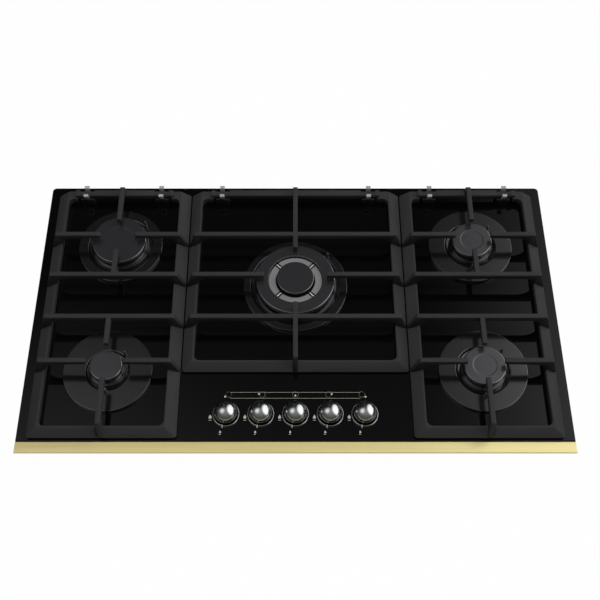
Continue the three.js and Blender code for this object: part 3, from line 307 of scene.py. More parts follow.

# %% [markdown]
# ## Effects that several finishes share
# Cast, enamelled and brushed surfaces are never even. Four small node groups are built once and
# placed in the materials with their own values: a fine grain, a slow drift of tone, lighter edges
# (worn edges on the iron, and a painted highlight along the edges of the burner alloy) and the
# rings that a lathe leaves. They read the object's own coordinates in metres, so a scale of 1000
# is a pattern of about a millimetre. The rings read how far each point is from the axis that its
# piece was turned on.

# %% Build the grain and drift groups
def new_group(name, inputs, outputs):
    """An empty shader node group with float or colour sockets."""
    group = bpy.data.node_groups.new(name, "ShaderNodeTree")
    kinds = {"value": "NodeSocketFloat", "colour": "NodeSocketColor"}
    for socket, kind, start in inputs:
        made = group.interface.new_socket(name=socket, in_out="INPUT", socket_type=kinds[kind])
        made.default_value = start
    for socket, kind in outputs:
        group.interface.new_socket(name=socket, in_out="OUTPUT", socket_type=kinds[kind])
    entry = group.nodes.new("NodeGroupInput")
    exit_node = group.nodes.new("NodeGroupOutput")
    return group, entry.outputs, exit_node.inputs


def grain_group():
    """Fine bumps: Height for a Bump node and Mask for roughness."""
    group, given, made = new_group(
        "grain", [("Scale", "value", 900)], [("Height", "value"), ("Mask", "value")]
    )
    place = add_node(group, "TexCoord").outputs["Object"]
    noise = add_node(
        group, "TexNoise", Vector=place, Scale=given["Scale"], Detail=3, Roughness=0.6
    )
    link(group, noise.outputs["Fac"], made["Height"])
    link(group, noise.outputs["Fac"], made["Mask"])
    return group


def drift_group():
    """A colour that wanders slowly between two tones, and the mask that it follows."""
    group, given, made = new_group(
        "drift",
        [("Scale", "value", 20), ("Tone A", "colour", (0, 0, 0, 1)), ("Tone B", "colour", (1, 1, 1, 1))],
        [("Colour", "colour"), ("Mask", "value")],
    )
    place = add_node(group, "TexCoord").outputs["Object"]
    noise = add_node(group, "TexNoise", Vector=place, Scale=given["Scale"], Detail=2)
    colour = mix_colours(group, noise.outputs["Fac"], given["Tone A"], given["Tone B"])
    link(group, colour, made["Colour"])
    link(group, noise.outputs["Fac"], made["Mask"])
    return group


GRAIN = grain_group()
DRIFT = drift_group()
print("groups:", GRAIN.name, DRIFT.name)

# %% Build the edge (wear and painted highlight) and lathe-ring groups
def wear_and_highlight_group():
    """A mask that is 1 along edges, where the smoothed normal leaves the true one. It lightens worn
    edges, and draws a painted highlight along edges.
    """
    group, given, made = new_group("edge_wear_and_highlight", [("Radius", "value", 0.001)], [("Mask", "value")])
    soft = add_node(group, "Bevel", Radius=given["Radius"])
    soft.samples = 4
    true = add_node(group, "NewGeometry")
    likeness = add_node(group, "VectorMath")
    likeness.operation = "DOT_PRODUCT"
    link(group, soft.outputs["Normal"], likeness.inputs[0])
    link(group, true.outputs["Normal"], likeness.inputs[1])
    link(group, map_range(group, likeness.outputs["Value"], (0.98, 0.80), (0, 1)), made["Mask"])
    return group


def ring_group():
    """Fine rings about the axis of a turned piece, from the from_axis attribute."""
    group, given, made = new_group("lathe_rings", [("Pitch", "value", 0.0015)], [("Height", "value")])
    reach = add_node(group, "Attribute")
    reach.attribute_name = "from_axis"
    noise = add_node(group, "TexNoise", Scale=1, Detail=2)
    noise.noise_dimensions = "1D"
    link(group, maths(group, "DIVIDE", reach.outputs["Fac"], given["Pitch"]), noise.inputs["W"])
    link(group, noise.outputs["Fac"], made["Height"])
    return group


WEAR_AND_HIGHLIGHT = wear_and_highlight_group()
RINGS = ring_group()
print("groups:", WEAR_AND_HIGHLIGHT.name, RINGS.name)

# %% [markdown]
# ## The finishes
# Every finish starts from a small table of what the eye reads first: two tones to wander
# between, how rough it is, and how fine and deep its grain is. One helper turns such a row into
# a material, and the special ones, brushed metal and glass, get their own.

# %% Mix the plain finishes
def add_group(material, group, **values):
    """Places a node group in a material and sets its inputs, with spaces for underscores."""
    node = material.node_tree.nodes.new("ShaderNodeGroup")
    node.node_tree = group
    for socket, value in values.items():
        node.inputs[socket.replace("_", " ")].default_value = value
    return node


def new_finish(name, metallic):
    """A material with a Principled shader, returned with that shader and its tree."""
    material = bpy.data.materials.new(name)
    material.use_nodes = True
    shader = material.node_tree.nodes["Principled BSDF"]
    shader.inputs["Metallic"].default_value = metallic
    return material, shader, material.node_tree


def roughness_from(tree, mask, low, high, shader):
    """Roughness that follows a mask between two values."""
    link(tree, map_range(tree, mask, (0, 1), (low, high)), shader.inputs["Roughness"])


def bump_from(tree, height, strength, depth, shader):
    """A bump from a height, depth in metres."""
    bump = add_node(tree, "Bump", Strength=strength, Distance=depth, Height=height)
    link(tree, bump.outputs["Normal"], shader.inputs["Normal"])


def finish(name, tones, rough, grain, metallic=0, wear_and_highlight=None, rings=0, index=1.5):
    """A material from its tones, its range of roughness, and its grain (scale, strength).

    The edge tone lightens every edge: worn edges on the iron, and a painted highlight along the edges of
    the burner alloy. rings is the pitch of lathe rings, index the refractive index.
    """
    material, shader, tree = new_finish(name, metallic)
    shader.inputs["IOR"].default_value = index
    drift = add_group(material, DRIFT, Scale=24, Tone_A=(*tones[0], 1), Tone_B=(*tones[1], 1))
    colour = drift.outputs["Colour"]
    fine = add_group(material, GRAIN, Scale=grain[0])
    # Lighter edges: worn edges, and on the burner alloy a painted highlight.
    if wear_and_highlight:
        edges = add_group(material, WEAR_AND_HIGHLIGHT, Radius=0.0012)
        colour = mix_colours(tree, edges.outputs["Mask"], colour, (*wear_and_highlight, 1))
    link(tree, colour, shader.inputs["Base Color"])
    height = fine.outputs["Height"]
    if rings:
        lathe = add_group(material, RINGS, Pitch=rings)
        height = maths(tree, "ADD", height, lathe.outputs["Height"])
    roughness_from(tree, fine.outputs["Mask"], rough[0], rough[1], shader)
    bump_from(tree, height, grain[1], 0.0004, shader)
    return material


def grey(value, blue=1.0):
    """A grey tone with a little more or less blue."""
    return (value, value, value * blue)


CAST_IRON = finish(
    "cast_iron", (grey(0.023, 1.04), grey(0.029, 1.03)), (0.56, 0.72), (1400, 0.35), wear_and_highlight=grey(0.030),
    index=1.3,
)
PLATE_ENAMEL = finish(
    "plate_enamel", (grey(0.002, 1.1), grey(0.003, 1.1)), (0.12, 0.18), (1800, 0.03), index=2.1
)
CAP_ENAMEL = finish(
    "cap_enamel", (grey(0.0095, 1.10), grey(0.0115, 1.12)), (0.16, 0.24), (2200, 0.06), index=2.35
)
# The burner alloy's light edge tone is a painted highlight: it draws thin bright lines along the rims of
# the bodies.
BURNER_ALLOY = finish(
    "burner_alloy", (grey(0.035), grey(0.055)), (0.20, 0.32), (1500, 0.1), metallic=1,
    wear_and_highlight=grey(0.22), rings=0.0012,
)
BRIGHT_ALUMINIUM = finish(
    "bright_aluminium", (grey(0.25), grey(0.30)), (0.30, 0.42), (1800, 0.15), metallic=0.5,
    wear_and_highlight=grey(0.55), rings=0.001,
)
PLAIN_ALUMINIUM = finish(
    "plain_aluminium", (grey(0.42), grey(0.52)), (0.4, 0.55), (900, 0.2), metallic=1
)
# The pale tone of this finish, used for the ribs of the flame ring, is a painted reflection of a bright
# slot floor.
REFLECTION_ALUMINIUM = finish(
    "painted_reflection_aluminium", (grey(0.50), grey(0.58)), (0.28, 0.36), (1800, 0.05), metallic=0.15
)
CHROME = finish("chrome", (grey(0.50), grey(0.54)), (0.15, 0.19), (600, 0.01), metallic=1)
SPRING_STEEL = finish(
    "spring_steel", (grey(0.42), grey(0.52)), (0.22, 0.34), (900, 0.05), metallic=0.45
)
STEEL = finish("steel", (grey(0.36), grey(0.44)), (0.3, 0.42), (1200, 0.1), metallic=1)
ZINC = finish("zinc_sheet", (grey(0.34, 1.03), grey(0.50, 1.03)), (0.38, 0.56), (140, 0.12), metallic=1)
BRASS = finish(
    "brass", ((0.42, 0.27, 0.09), (0.52, 0.35, 0.13)), (0.3, 0.45), (900, 0.12), metallic=1
)
BLACK_PLASTIC = finish(
    "black_plastic", (grey(0.005), grey(0.009)), (0.5, 0.65), (2600, 0.25), index=1.3
)
FOAM = finish("seal_foam", (grey(0.022), grey(0.036)), (0.9, 1.0), (900, 0.9))
CERAMIC = finish(
    "dark_ceramic", ((0.020, 0.019, 0.018), (0.030, 0.028, 0.026)), (0.35, 0.5), (1500, 0.08)
)
PRINT_INK = finish("print_ink", ((0.44, 0.42, 0.36), (0.50, 0.48, 0.42)), (0.5, 0.6), (2200, 0.05))
print("finishes so far:", len(bpy.data.materials))

# %% [markdown]
# The glass is black from below and shows no depth, only its own mirror. So it is an opaque,
# nearly black surface with the gloss of glass. A faint haze, as a wiped plate has, changes how
# sharp the mirror is.

# %% Mix the glass
def glass_finish():
    """Black glass: almost no colour of its own, a clear gloss and faint wiped haze."""
    material, shader, tree = new_finish("black_glass", 0)
    shader.inputs["IOR"].default_value = 1.5
    tones = dict(Tone_A=(0.0006, 0.0006, 0.0007, 1), Tone_B=(0.0011, 0.0011, 0.0012, 1))
    haze = add_group(material, DRIFT, Scale=7, **tones)
    link(tree, haze.outputs["Colour"], shader.inputs["Base Color"])
    roughness_from(tree, haze.outputs["Mask"], 0.03, 0.07, shader)
    return material


BLACK_GLASS = glass_finish()
print("glass:", BLACK_GLASS.name)

# %% [markdown]
# The front strip is brushed along its length. A noise that is stretched a hundred times along X
# gives hair lines, and a slow one tints them, as heat and polish do on real gold-coloured metal.

# %% Mix the brushed gold
def brushed_finish():
    """Gold-coloured metal with hair lines along X."""
    material, shader, tree = new_finish("brushed_gold", 0.3)
    place = add_node(tree, "TexCoord").outputs["Object"]
    stretch = add_node(tree, "Mapping", Vector=place, Scale=(4, 900, 900)).outputs[0]
    hair = add_node(tree, "TexNoise", Vector=stretch, Scale=1.6, Detail=3).outputs["Fac"]
    tint = add_group(
        material, DRIFT, Scale=5, Tone_A=(0.86, 0.735, 0.335, 1), Tone_B=(0.92, 0.79, 0.36, 1)
    )
    streak = mix_colours(tree, 0.35, tint.outputs["Colour"], hair, "MULTIPLY")
    link(tree, streak, shader.inputs["Base Color"])
    roughness_from(tree, hair, 0.24, 0.42, shader)
    bump_from(tree, hair, 0.2, 0.0002, shader)
    shader.inputs["Anisotropic"].default_value = 0.5
    return material


BRUSHED_GOLD = brushed_finish()
print("strip finish:", BRUSHED_GOLD.name)

# %% [markdown]
# ## How the pieces are made
# Most pieces of a cooktop are either turned on a lathe, like the caps and knobs, or cast from a
# flat side view with some thickness, like the bars. So two helpers do most of the modelling.
# Both start from a few corner points, round chosen corners with a vertex bevel, and then either
# spin the outline about an upright axis or extrude it.

# %% Helpers for corners and edges
def round_corners(bm, points, reach, segments):
    """Rounds these corners of a flat outline, with a reach in mm."""
    bmesh.ops.bevel(
        bm, geom=points, offset=reach * MM, affect="VERTICES", segments=segments, profile=0.5,
        material=-1,
    )


def outline(bm, corners, rounding=()):
    """One face in the XZ plane. rounding lists (corner indices, reach in mm, segments)."""
    points = [bm.verts.new(mm(x, 0, z)) for x, z in corners]
    bm.faces.new(points)
    for indices, reach, segments in rounding:
        round_corners(bm, [points[index] for index in indices], reach, segments)


def round_edges(bm, edges, reach, segments=2):
    """Bevels these edges by a reach in mm."""
    bmesh.ops.bevel(
        bm, geom=edges, offset=reach * MM, affect="EDGES", segments=segments, profile=0.5,
        material=-1, clamp_overlap=True,
    )


def sharp_edges(bm, degrees=30):
    """The edges whose two faces meet at more than this angle."""
    limit = math.radians(degrees)
    return [edge for edge in bm.edges if edge.is_manifold and edge.calc_face_angle() > limit]


def extrude(bm, faces, travel):
    """Extrudes faces by a vector and returns the faces at the far end."""
    parts = bmesh.ops.extrude_face_region(bm, geom=faces)["geom"]
    moved = [part for part in parts if isinstance(part, bmesh.types.BMVert)]
    bmesh.ops.translate(bm, verts=moved, vec=travel)
    return [part for part in parts if isinstance(part, bmesh.types.BMFace)]


print("helpers for corners and edges ready")

# %% Helpers for turning, casting and blocks
def turned(corners, rounding=(), steps=96, x=0, y=0):
    """A closed [radius, height] outline spun about an upright axis at x, y."""
    bm = bmesh.new()
    outline(bm, corners, rounding)
    bmesh.ops.delete(bm, geom=bm.faces[:], context="FACES_ONLY")
    on_axis = [edge for edge in bm.edges if all(vert.co.x < 1e-7 for vert in edge.verts)]
    bmesh.ops.delete(bm, geom=on_axis, context="EDGES")
    bmesh.ops.spin(
        bm, geom=bm.verts[:] + bm.edges[:], cent=(0, 0, 0), axis=(0, 0, 1), angle=2 * math.pi,
        steps=steps, use_merge=True,
    )
    bmesh.ops.remove_doubles(bm, verts=bm.verts[:], dist=1e-7)
    reach = bm.verts.layers.float.new("from_axis")
    for vert in bm.verts:
        vert[reach] = vert.co.xy.length
    bm.transform(Matrix.Translation(mm(x, y, 0)))
    return bm


def cast(corners, width, rounding=(), edge=0.8):
    """A side view given a width along Y, centred, with its sharp edges rounded by edge mm."""
    bm = bmesh.new()
    outline(bm, corners, rounding)
    extrude(bm, bm.faces[:], mm(0, width, 0))
    bmesh.ops.translate(bm, verts=bm.verts[:], vec=mm(0, -width / 2, 0))
    bmesh.ops.recalc_face_normals(bm, faces=bm.faces[:])
    if edge:
        round_edges(bm, sharp_edges(bm), edge)
    return bm


def cylinder(radius, height, segments):
    """An upright cylinder round the origin."""
    bm = bmesh.new()
    bmesh.ops.create_cone(
        bm, cap_ends=True, segments=segments, radius1=radius * MM, radius2=radius * MM,
        depth=height * MM,
    )
    return bm


def block(x0, x1, y0, y1, z0, z1, edge=0.8):
    """A block between limits in mm, with rounded edges."""
    bm = bmesh.new()
    bmesh.ops.create_cube(bm, size=1)
    bmesh.ops.scale(bm, vec=mm(x1 - x0, y1 - y0, z1 - z0), verts=bm.verts[:])
    bmesh.ops.translate(bm, vec=mm((x0 + x1) / 2, (y0 + y1) / 2, (z0 + z1) / 2), verts=bm.verts[:])
    if edge:
        round_edges(bm, bm.edges[:], edge)
    return bm


print("forms can be turned, cast or cut from a block")

# %% Helpers for finished pieces
def pour(part, whole, place=Matrix.Identity(4)):
    """Adds a finished part to a larger piece at its place, and frees the part."""
    part.transform(place)
    carrier = bpy.data.meshes.new("carrier")
    part.to_mesh(carrier)
    part.free()
    whole.from_mesh(carrier)
    bpy.data.meshes.remove(carrier)


def add_piece(name, bm, material, nodes=(), body="root", sharp=38):
    """A finished bmesh becomes an object that rides on a body and stands for CAD nodes."""
    bmesh.ops.recalc_face_normals(bm, faces=bm.faces[:])
    piece = object_from(name, bm)
    piece.data.shade_smooth()
    piece.data.set_sharp_from_angle(angle=math.radians(sharp))
    piece.data.materials.append(material)
    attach(piece, body)
    if nodes:
        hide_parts(*nodes)
    return piece


def weld(parts, name):
    """One closed shell from parts that cross each other, as a casting is.

    The Boolean joins the parts with themselves, and the empty speck is the partner it asks for.
    """
    crossed = object_from(name, parts)
    speck = object_from("speck", bmesh.new())
    join = crossed.modifiers.new("join", "BOOLEAN")
    join.operation = "UNION"
    join.solver = "EXACT"
    join.use_self = True
    join.object = speck
    seen = crossed.evaluated_get(bpy.context.evaluated_depsgraph_get())
    whole = bmesh.new()
    whole.from_mesh(seen.to_mesh())
    seen.to_mesh_clear()
    for spare in (crossed, speck):
        spare_mesh = spare.data
        bpy.data.objects.remove(spare)
        bpy.data.meshes.remove(spare_mesh)
    bmesh.ops.remove_doubles(whole, verts=whole.verts[:], dist=2e-6)
    return whole


def cut_with(piece, cutter):
    """A live Boolean that takes a hidden shape out of a piece."""
    tool = object_from(f"{piece.name}_cutter", cutter)
    tool.hide_render = True
    tool.hide_set(True)
    modifier = piece.modifiers.new("cut", "BOOLEAN")
    modifier.operation = "DIFFERENCE"
    modifier.solver = "EXACT"
    modifier.object = tool


print("helpers for pieces ready")

# %% [markdown]
# ## The pan supports
# Each support is one iron casting: a low frame with sloping outer sides, bars that rise from it
# in a quarter arch, and a rail at the back that turns in the clips. The frame is drawn as a
# stack of rounded rectangles that are bridged into a ring. The bars are cast from their side
# views. The edges get a small round, because a casting has no sharp ones, and that round is
# what catches the light.

# %% The sizes of the supports
GLASS_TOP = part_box("glass_top")[1].z / MM
BAR_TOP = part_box("pan_support_left")[1].z / MM
BAR_WIDTH = 8
BAR_HEIGHT = 12
TIP_HEIGHT = 9
ARCH_RADIUS = 21
SIDE_LEAN = 12  # how far the outer end of a bar leans inwards, from the sides
FRONT_LEAN = 8  # and from the front
FRAME_BASE = GLASS_TOP + 2.5
FRAME_LIP = FRAME_BASE + 2.5
FRAME_TOP = GLASS_TOP + 17
FRAME_REAR = 240
SIDE_WIDTH = 20
FRONT_WIDTH = 16
CREST = 3  # width of the level top inside the slope
HEEL = 3  # how far the rear side draws in below its lip
RAIL_Y = 232
RAIL_LEVEL = GLASS_TOP + 18.5
RAIL_RADIUS = 5.5
RAIL_DEPTH = 12
JOURNAL = 26  # length of the round stretch in a clip
FRONT_ROW = -117
REAR_ROW = 129
FRONT_BAR_ROW = FRONT_ROW + (REAR_ROW - FRONT_ROW) / 3
REAR_BAR_ROW = REAR_ROW - (REAR_ROW - FRONT_ROW) / 3
SIDE_MIDDLE = 312
TIP_REACH = 30.5  # from the middle of a burner to the finger tips
WOK_TIP_REACH = 54
print("glass at", round(GLASS_TOP, 1), "bars up to", round(BAR_TOP, 1))

# %% The frame of a support
def rectangle_loop(bm, x0, x1, y0, y1, z, radius, segments=6):
    """The edges of a rounded rectangle at a height."""
    before = set(bm.edges)
    old_faces = set(bm.faces)
    points = [bm.verts.new(mm(x, y, z)) for x, y in ((x0, y0), (x1, y0), (x1, y1), (x0, y1))]
    bm.faces.new(points)
    round_corners(bm, points, radius, segments)
    drawn = [face for face in bm.faces if face not in old_faces]
    bmesh.ops.delete(bm, geom=drawn, context="FACES_ONLY")
    return [edge for edge in bm.edges if edge not in before]


def frame_ring(x0, x1, y0, y1, rail_half):
    """The ring of the frame with a gap for the rail in its rear side."""
    bm = bmesh.new()
    slope_x = SIDE_WIDTH - CREST
    slope_y = FRONT_WIDTH - CREST
    levels = [
        (0, 0, HEEL, FRAME_BASE, 5),
        (0, 0, 0, FRAME_LIP, 5),
        (slope_x, slope_y, 0, FRAME_TOP, 3),
        (SIDE_WIDTH, FRONT_WIDTH, FRONT_WIDTH, FRAME_TOP, 10),
        (SIDE_WIDTH, FRONT_WIDTH, FRONT_WIDTH, FRAME_BASE, 10),
    ]
    loops = [
        rectangle_loop(bm, x0 + side, x1 - side, y0 + front, y1 - rear, z, radius)
        for side, front, rear, z, radius in levels
    ]
    for lower, upper in zip(loops, loops[1:] + loops[:1]):
        bmesh.ops.bridge_loops(bm, edges=lower + upper)
    open_gap(bm, (x0 + x1) / 2, rail_half, y1 - FRONT_WIDTH)
    bmesh.ops.recalc_face_normals(bm, faces=bm.faces[:])
    round_edges(bm, sharp_edges(bm, 22), 0.9)
    return bm


def open_gap(bm, middle, half, start):
    """Cuts the rear side away between two planes and closes the cut ends."""
    def rear_part():
        faces = [face for face in bm.faces if face.calc_center_median().y > (start - 1) * MM]
        edges = {edge for face in faces for edge in face.edges}
        verts = {vert for face in faces for vert in face.verts}
        return faces, [*verts, *edges, *faces]

    for side in (-half, half):
        bmesh.ops.bisect_plane(
            bm, geom=rear_part()[1], plane_co=mm(middle + side, 0, 0), plane_no=(1, 0, 0), dist=1e-7
        )
    gap = [
        face for face in rear_part()[0]
        if abs(face.calc_center_median().x - middle * MM) < half * MM - 1e-5
    ]
    bmesh.ops.delete(bm, geom=gap, context="FACES")
    rim = [edge for edge in bm.edges if edge.is_boundary]
    bmesh.ops.holes_fill(bm, edges=rim, sides=0)


print("frames from", round(FRAME_BASE, 1), "up to", round(FRAME_TOP, 1))

# %% The bars and fingers
def bar_corners(length, frame_width, slope, free):
    """The side view of a bar from the outer edge of the frame, with the corners to round.

    A free bar ends in a tip over a burner. The others come down to the frame again.
    """
    underside = BAR_TOP - BAR_HEIGHT
    arch = frame_width - 1
    corners = [(0, FRAME_LIP), (arch, FRAME_LIP), (arch, underside)]
    if free:
        corners += [(length, BAR_TOP - TIP_HEIGHT), (length, BAR_TOP), (slope, BAR_TOP)]
        return corners, [((2,), ARCH_RADIUS, 10), ((4,), 1.6, 3), ((5,), 3, 4)]
    far = length - arch
    corners += [(far, underside), (far, FRAME_LIP), (length, FRAME_LIP)]
    corners += [(length - slope, BAR_TOP), (slope, BAR_TOP)]
    return corners, [((2, 3), ARCH_RADIUS, 10), ((6, 7), 3, 4)]


def place_at(x, y, heading):
    """The matrix that puts a side view's start at x, y and turns it to a heading in degrees."""
    return Matrix.Translation(mm(x, y, 0)) @ Matrix.Rotation(math.radians(heading), 4, "Z")


def bar(whole, length, frame_width, slope, free, x, y, heading):
    """Adds one bar to a support."""
    corners, rounding = bar_corners(length, frame_width, slope, free)
    pour(cast(corners, BAR_WIDTH, rounding), whole, place_at(x, y, heading))


def spur(whole, x, start, tip):
    """Adds a short finger that grows out of a crossbar."""
    length = abs(tip - start)
    corners = [
        (0, BAR_TOP - BAR_HEIGHT), (length, BAR_TOP - TIP_HEIGHT), (length, BAR_TOP), (0, BAR_TOP),
    ]
    heading = 90 if tip > start else -90
    pour(cast(corners, BAR_WIDTH, [((2,), 1.6, 3)]), whole, place_at(x, start, heading))


def rear_finger(whole, x, tip):
    """Adds the finger that rises from the rail."""
    start = RAIL_Y + RAIL_DEPTH / 2
    length = start - tip
    underside = BAR_TOP - BAR_HEIGHT
    arch = RAIL_DEPTH - 1
    corners = [
        (0, RAIL_LEVEL), (arch, RAIL_LEVEL), (arch, underside), (length, BAR_TOP - TIP_HEIGHT),
        (length, BAR_TOP), (8, BAR_TOP), (0, RAIL_LEVEL + RAIL_RADIUS),
    ]
    rounding = [((2,), underside - RAIL_LEVEL - 0.5, 10), ((4,), 1.6, 3), ((5,), 3, 4)]
    pour(cast(corners, BAR_WIDTH, rounding), whole, place_at(x, start, -90))


print("bars are", BAR_WIDTH, "mm wide")

# %% The rail and the pads
ON_GLASS = GLASS_TOP + 0.3  # where pieces on the glass start, a hair above it
PAD_RADIUS = 6


def tilt_rail(whole, middle, half, clip):
    """Square stretches with a round journal where each clip holds the rail."""
    reach = half + 4
    near = clip - JOURNAL / 2
    far = clip + JOURNAL / 2
    rod = cylinder(RAIL_RADIUS, 2 * reach, 48)
    rod.transform(Matrix.Rotation(math.pi / 2, 4, "Y"))
    pour(rod, whole, Matrix.Translation(mm(middle, RAIL_Y, RAIL_LEVEL)))
    for x0, x1 in ((-reach, -far), (-near, near), (far, reach)):
        stretch = block(
            middle + x0, middle + x1, RAIL_Y - RAIL_DEPTH / 2, RAIL_Y + RAIL_DEPTH / 2,
            RAIL_LEVEL - RAIL_RADIUS, RAIL_LEVEL + RAIL_RADIUS,
        )
        pour(stretch, whole)


def pads(whole, x0, x1, y0, y1):
    """Four round pads under the frame, clear of the rail."""
    for x in (x0 + SIDE_WIDTH / 2, x1 - SIDE_WIDTH / 2):
        for y in (y0 + 14, y1 - 35):
            corners = [
                (0, ON_GLASS), (PAD_RADIUS, ON_GLASS), (PAD_RADIUS, FRAME_LIP), (0, FRAME_LIP),
            ]
            pour(turned(corners, [((1,), 0.8, 3)], steps=32, x=x, y=y), whole)


print("rail at Y", RAIL_Y, "level", RAIL_LEVEL)

# %% Put the three supports together
def support(name, middle, bars, rows, reach, gap, clip):
    """One casting. bars cross it from side to side, and fingers point at the burners in rows.

    reach is the distance of the tips from the burner, gap half of the rail's gap in the frame,
    and clip how far from the middle the clips stand.
    """
    lo, hi = (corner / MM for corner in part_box(f"pan_support_{name}"))
    width = hi.x - lo.x
    whole = frame_ring(lo.x, hi.x, lo.y, FRAME_REAR, gap)
    for row in bars:
        bar(whole, width, SIDE_WIDTH, SIDE_LEAN, False, lo.x, row, 0)
    for row in rows:
        for x, heading in ((lo.x, 0), (hi.x, 180)):
            bar(whole, width / 2 - reach, SIDE_WIDTH, SIDE_LEAN, True, x, row, heading)
    bar(whole, rows[0] - reach - lo.y, FRONT_WIDTH, FRONT_LEAN, True, middle, lo.y, 90)
    if len(rows) > 1:
        spur(whole, middle, bars[0], rows[0] + reach)
        spur(whole, middle, bars[1], rows[1] - reach)
    rear_finger(whole, middle, rows[-1] + reach)
    tilt_rail(whole, middle, gap, clip)
    pads(whole, lo.x, hi.x, lo.y, FRAME_REAR)
    return add_piece(
        f"support_{name}", weld(whole, name), CAST_IRON, [f"pan_support_{name}"],
        f"{name}_support",
    )


# bars, rows, reach, gap and clip of the two kinds
SIDE = ((FRONT_BAR_ROW, REAR_BAR_ROW), (FRONT_ROW, REAR_ROW), TIP_REACH, 85, 68)
CENTRE = ((FRONT_BAR_ROW, REAR_ROW), (REAR_BAR_ROW,), WOK_TIP_REACH, 149, 133)
supports = [
    support("left", -SIDE_MIDDLE, *SIDE), support("centre", 0, *CENTRE),
    support("right", SIDE_MIDDLE, *SIDE),
]
print("supports:", [len(piece.data.polygons) for piece in supports], "faces")

# %% [markdown]
# ## The burners
# A burner is a stack of turned pieces: a spill plate on the glass, an alloy body with a ring of
# flame ports, and an enamelled cap that overhangs them. All are spun from their sections. The
# ports are every second side of a many-sided ring, inset and pushed inwards. An outline whose
# corner is rounded has one more point a little way along the flat. The spin makes a loop of
# edges there, which keeps the smooth shading of the round from spreading over the flat.

# %% The spill plates
BURNERS = {
    "rear_left": (-SIDE_MIDDLE, REAR_ROW, 47.5),
    "rear_right": (SIDE_MIDDLE, REAR_ROW, 35),
    "front_left": (-SIDE_MIDDLE, FRONT_ROW, 27),
    "front_right": (SIDE_MIDDLE, FRONT_ROW, 35),
}  # X, Y and the radius of the cap
WOK = (0, REAR_BAR_ROW, 68)
PLATE_SEAT = GLASS_TOP + 3.6
PLATE_RIM = GLASS_TOP + 6
PLATE_RADIUS = 74
WOK_PLATE = (90, 46.1, 74)  # radius, bore and seat


def spill_plate(name, x, y, radius, bore, seat):
    """A plate with a fine rim and a sunk middle. bore is its hole, seat where the burner stands."""
    corners = [
        (bore, ON_GLASS), (radius, ON_GLASS), (radius, PLATE_RIM), (radius - 1, PLATE_RIM),
        (seat + 5.5, PLATE_RIM), (seat + 4, PLATE_RIM), (seat + 1, PLATE_SEAT), (bore, PLATE_SEAT),
    ]
    rounding = [((2,), 0.4, 3), ((5, 6), 0.6, 3)]
    plate = turned(corners, rounding, steps=128, x=x, y=y)
    add_piece(f"plate_{name}", plate, PLATE_ENAMEL, [f"spill_plate_{name}"])


print("plates reach", PLATE_RADIUS, "mm from their burner,", WOK_PLATE[0], "mm for the wok")

# %% The four smaller burners
CAP_TOP = GLASS_TOP + 26
CAP_BASE = GLASS_TOP + 17
BODY_FOOT = GLASS_TOP - 6
BODY_SEAT = PLATE_SEAT + 0.3
PORT_INSET = 3  # how far the ports stand back below the edge of the cap
PORT_HEIGHT = 6
PORT_PITCH = 8


def port_ring(radius, z0, z1, x, y):
    """A ring whose outside has a row of ports cut into it."""
    count = 2 * round(2 * math.pi * radius / PORT_PITCH)
    bm = cylinder(radius, z1 - z0, count)
    sides = [face for face in bm.faces if abs(face.normal.z) < 0.5]
    sides.sort(key=lambda face: math.atan2(face.normal.y, face.normal.x))
    ports = sides[::2]
    bmesh.ops.inset_individual(bm, faces=ports, thickness=0.9 * MM, use_even_offset=True)
    for face in ports:
        bmesh.ops.translate(bm, vec=-face.normal * 3 * MM, verts=face.verts[:])
    bm.transform(Matrix.Translation(mm(x, y, (z0 + z1) / 2)))
    return bm


def burner_body(name, x, y, cap):
    """The alloy body: neck, skirt and port ring."""
    ring = cap - PORT_INSET
    neck = ring - 9
    ring_top = CAP_BASE - 0.3
    ring_base = ring_top - PORT_HEIGHT
    corners = [
        (8, BODY_FOOT), (neck, BODY_FOOT), (neck, BODY_SEAT), (ring + 6, BODY_SEAT),
        (ring + 6, BODY_SEAT + 3), (ring + 1.5, BODY_SEAT + 3.6), (ring - 0.5, ring_base),
        (8, ring_base),
    ]
    whole = turned(corners, [((3, 4), 0.8, 3), ((5,), 1.2, 3)], x=x, y=y)
    pour(port_ring(ring, ring_base - 0.3, ring_top, x, y), whole)
    add_piece(f"body_{name}", whole, BURNER_ALLOY, [f"burner_body_{name}"])


def burner_cap(name, x, y, radius):
    """A cap with a crisp rounded edge. The larger ones have a very shallow disc in the top."""
    corners = [
        (0, CAP_BASE), (radius - 1.2, CAP_BASE), (radius, CAP_BASE + 1.4), (radius, CAP_TOP),
        (radius - 2, CAP_TOP), (0, CAP_TOP),
    ]
    if radius > 32:
        disc = 0.5 * radius + 2
        sunk = CAP_TOP - 0.1
        corners[5:] = [
            (disc + 1.5, CAP_TOP), (disc + 0.6, CAP_TOP), (disc, sunk), (disc - 0.9, sunk), (0, sunk),
        ]
    cap = turned(corners, [((3,), 1.2, 5), ((1, 2), 0.6, 2)], x=x, y=y)
    add_piece(f"cap_{name}", cap, CAP_ENAMEL, [f"burner_cap_{name}"])


for name, (x, y, cap) in BURNERS.items():
    spill_plate(name, x, y, PLATE_RADIUS, cap - 12 + 0.4, cap + 6)
    burner_body(name, x, y, cap)
    burner_cap(name, x, y, cap)
print("burners:", list(BURNERS))

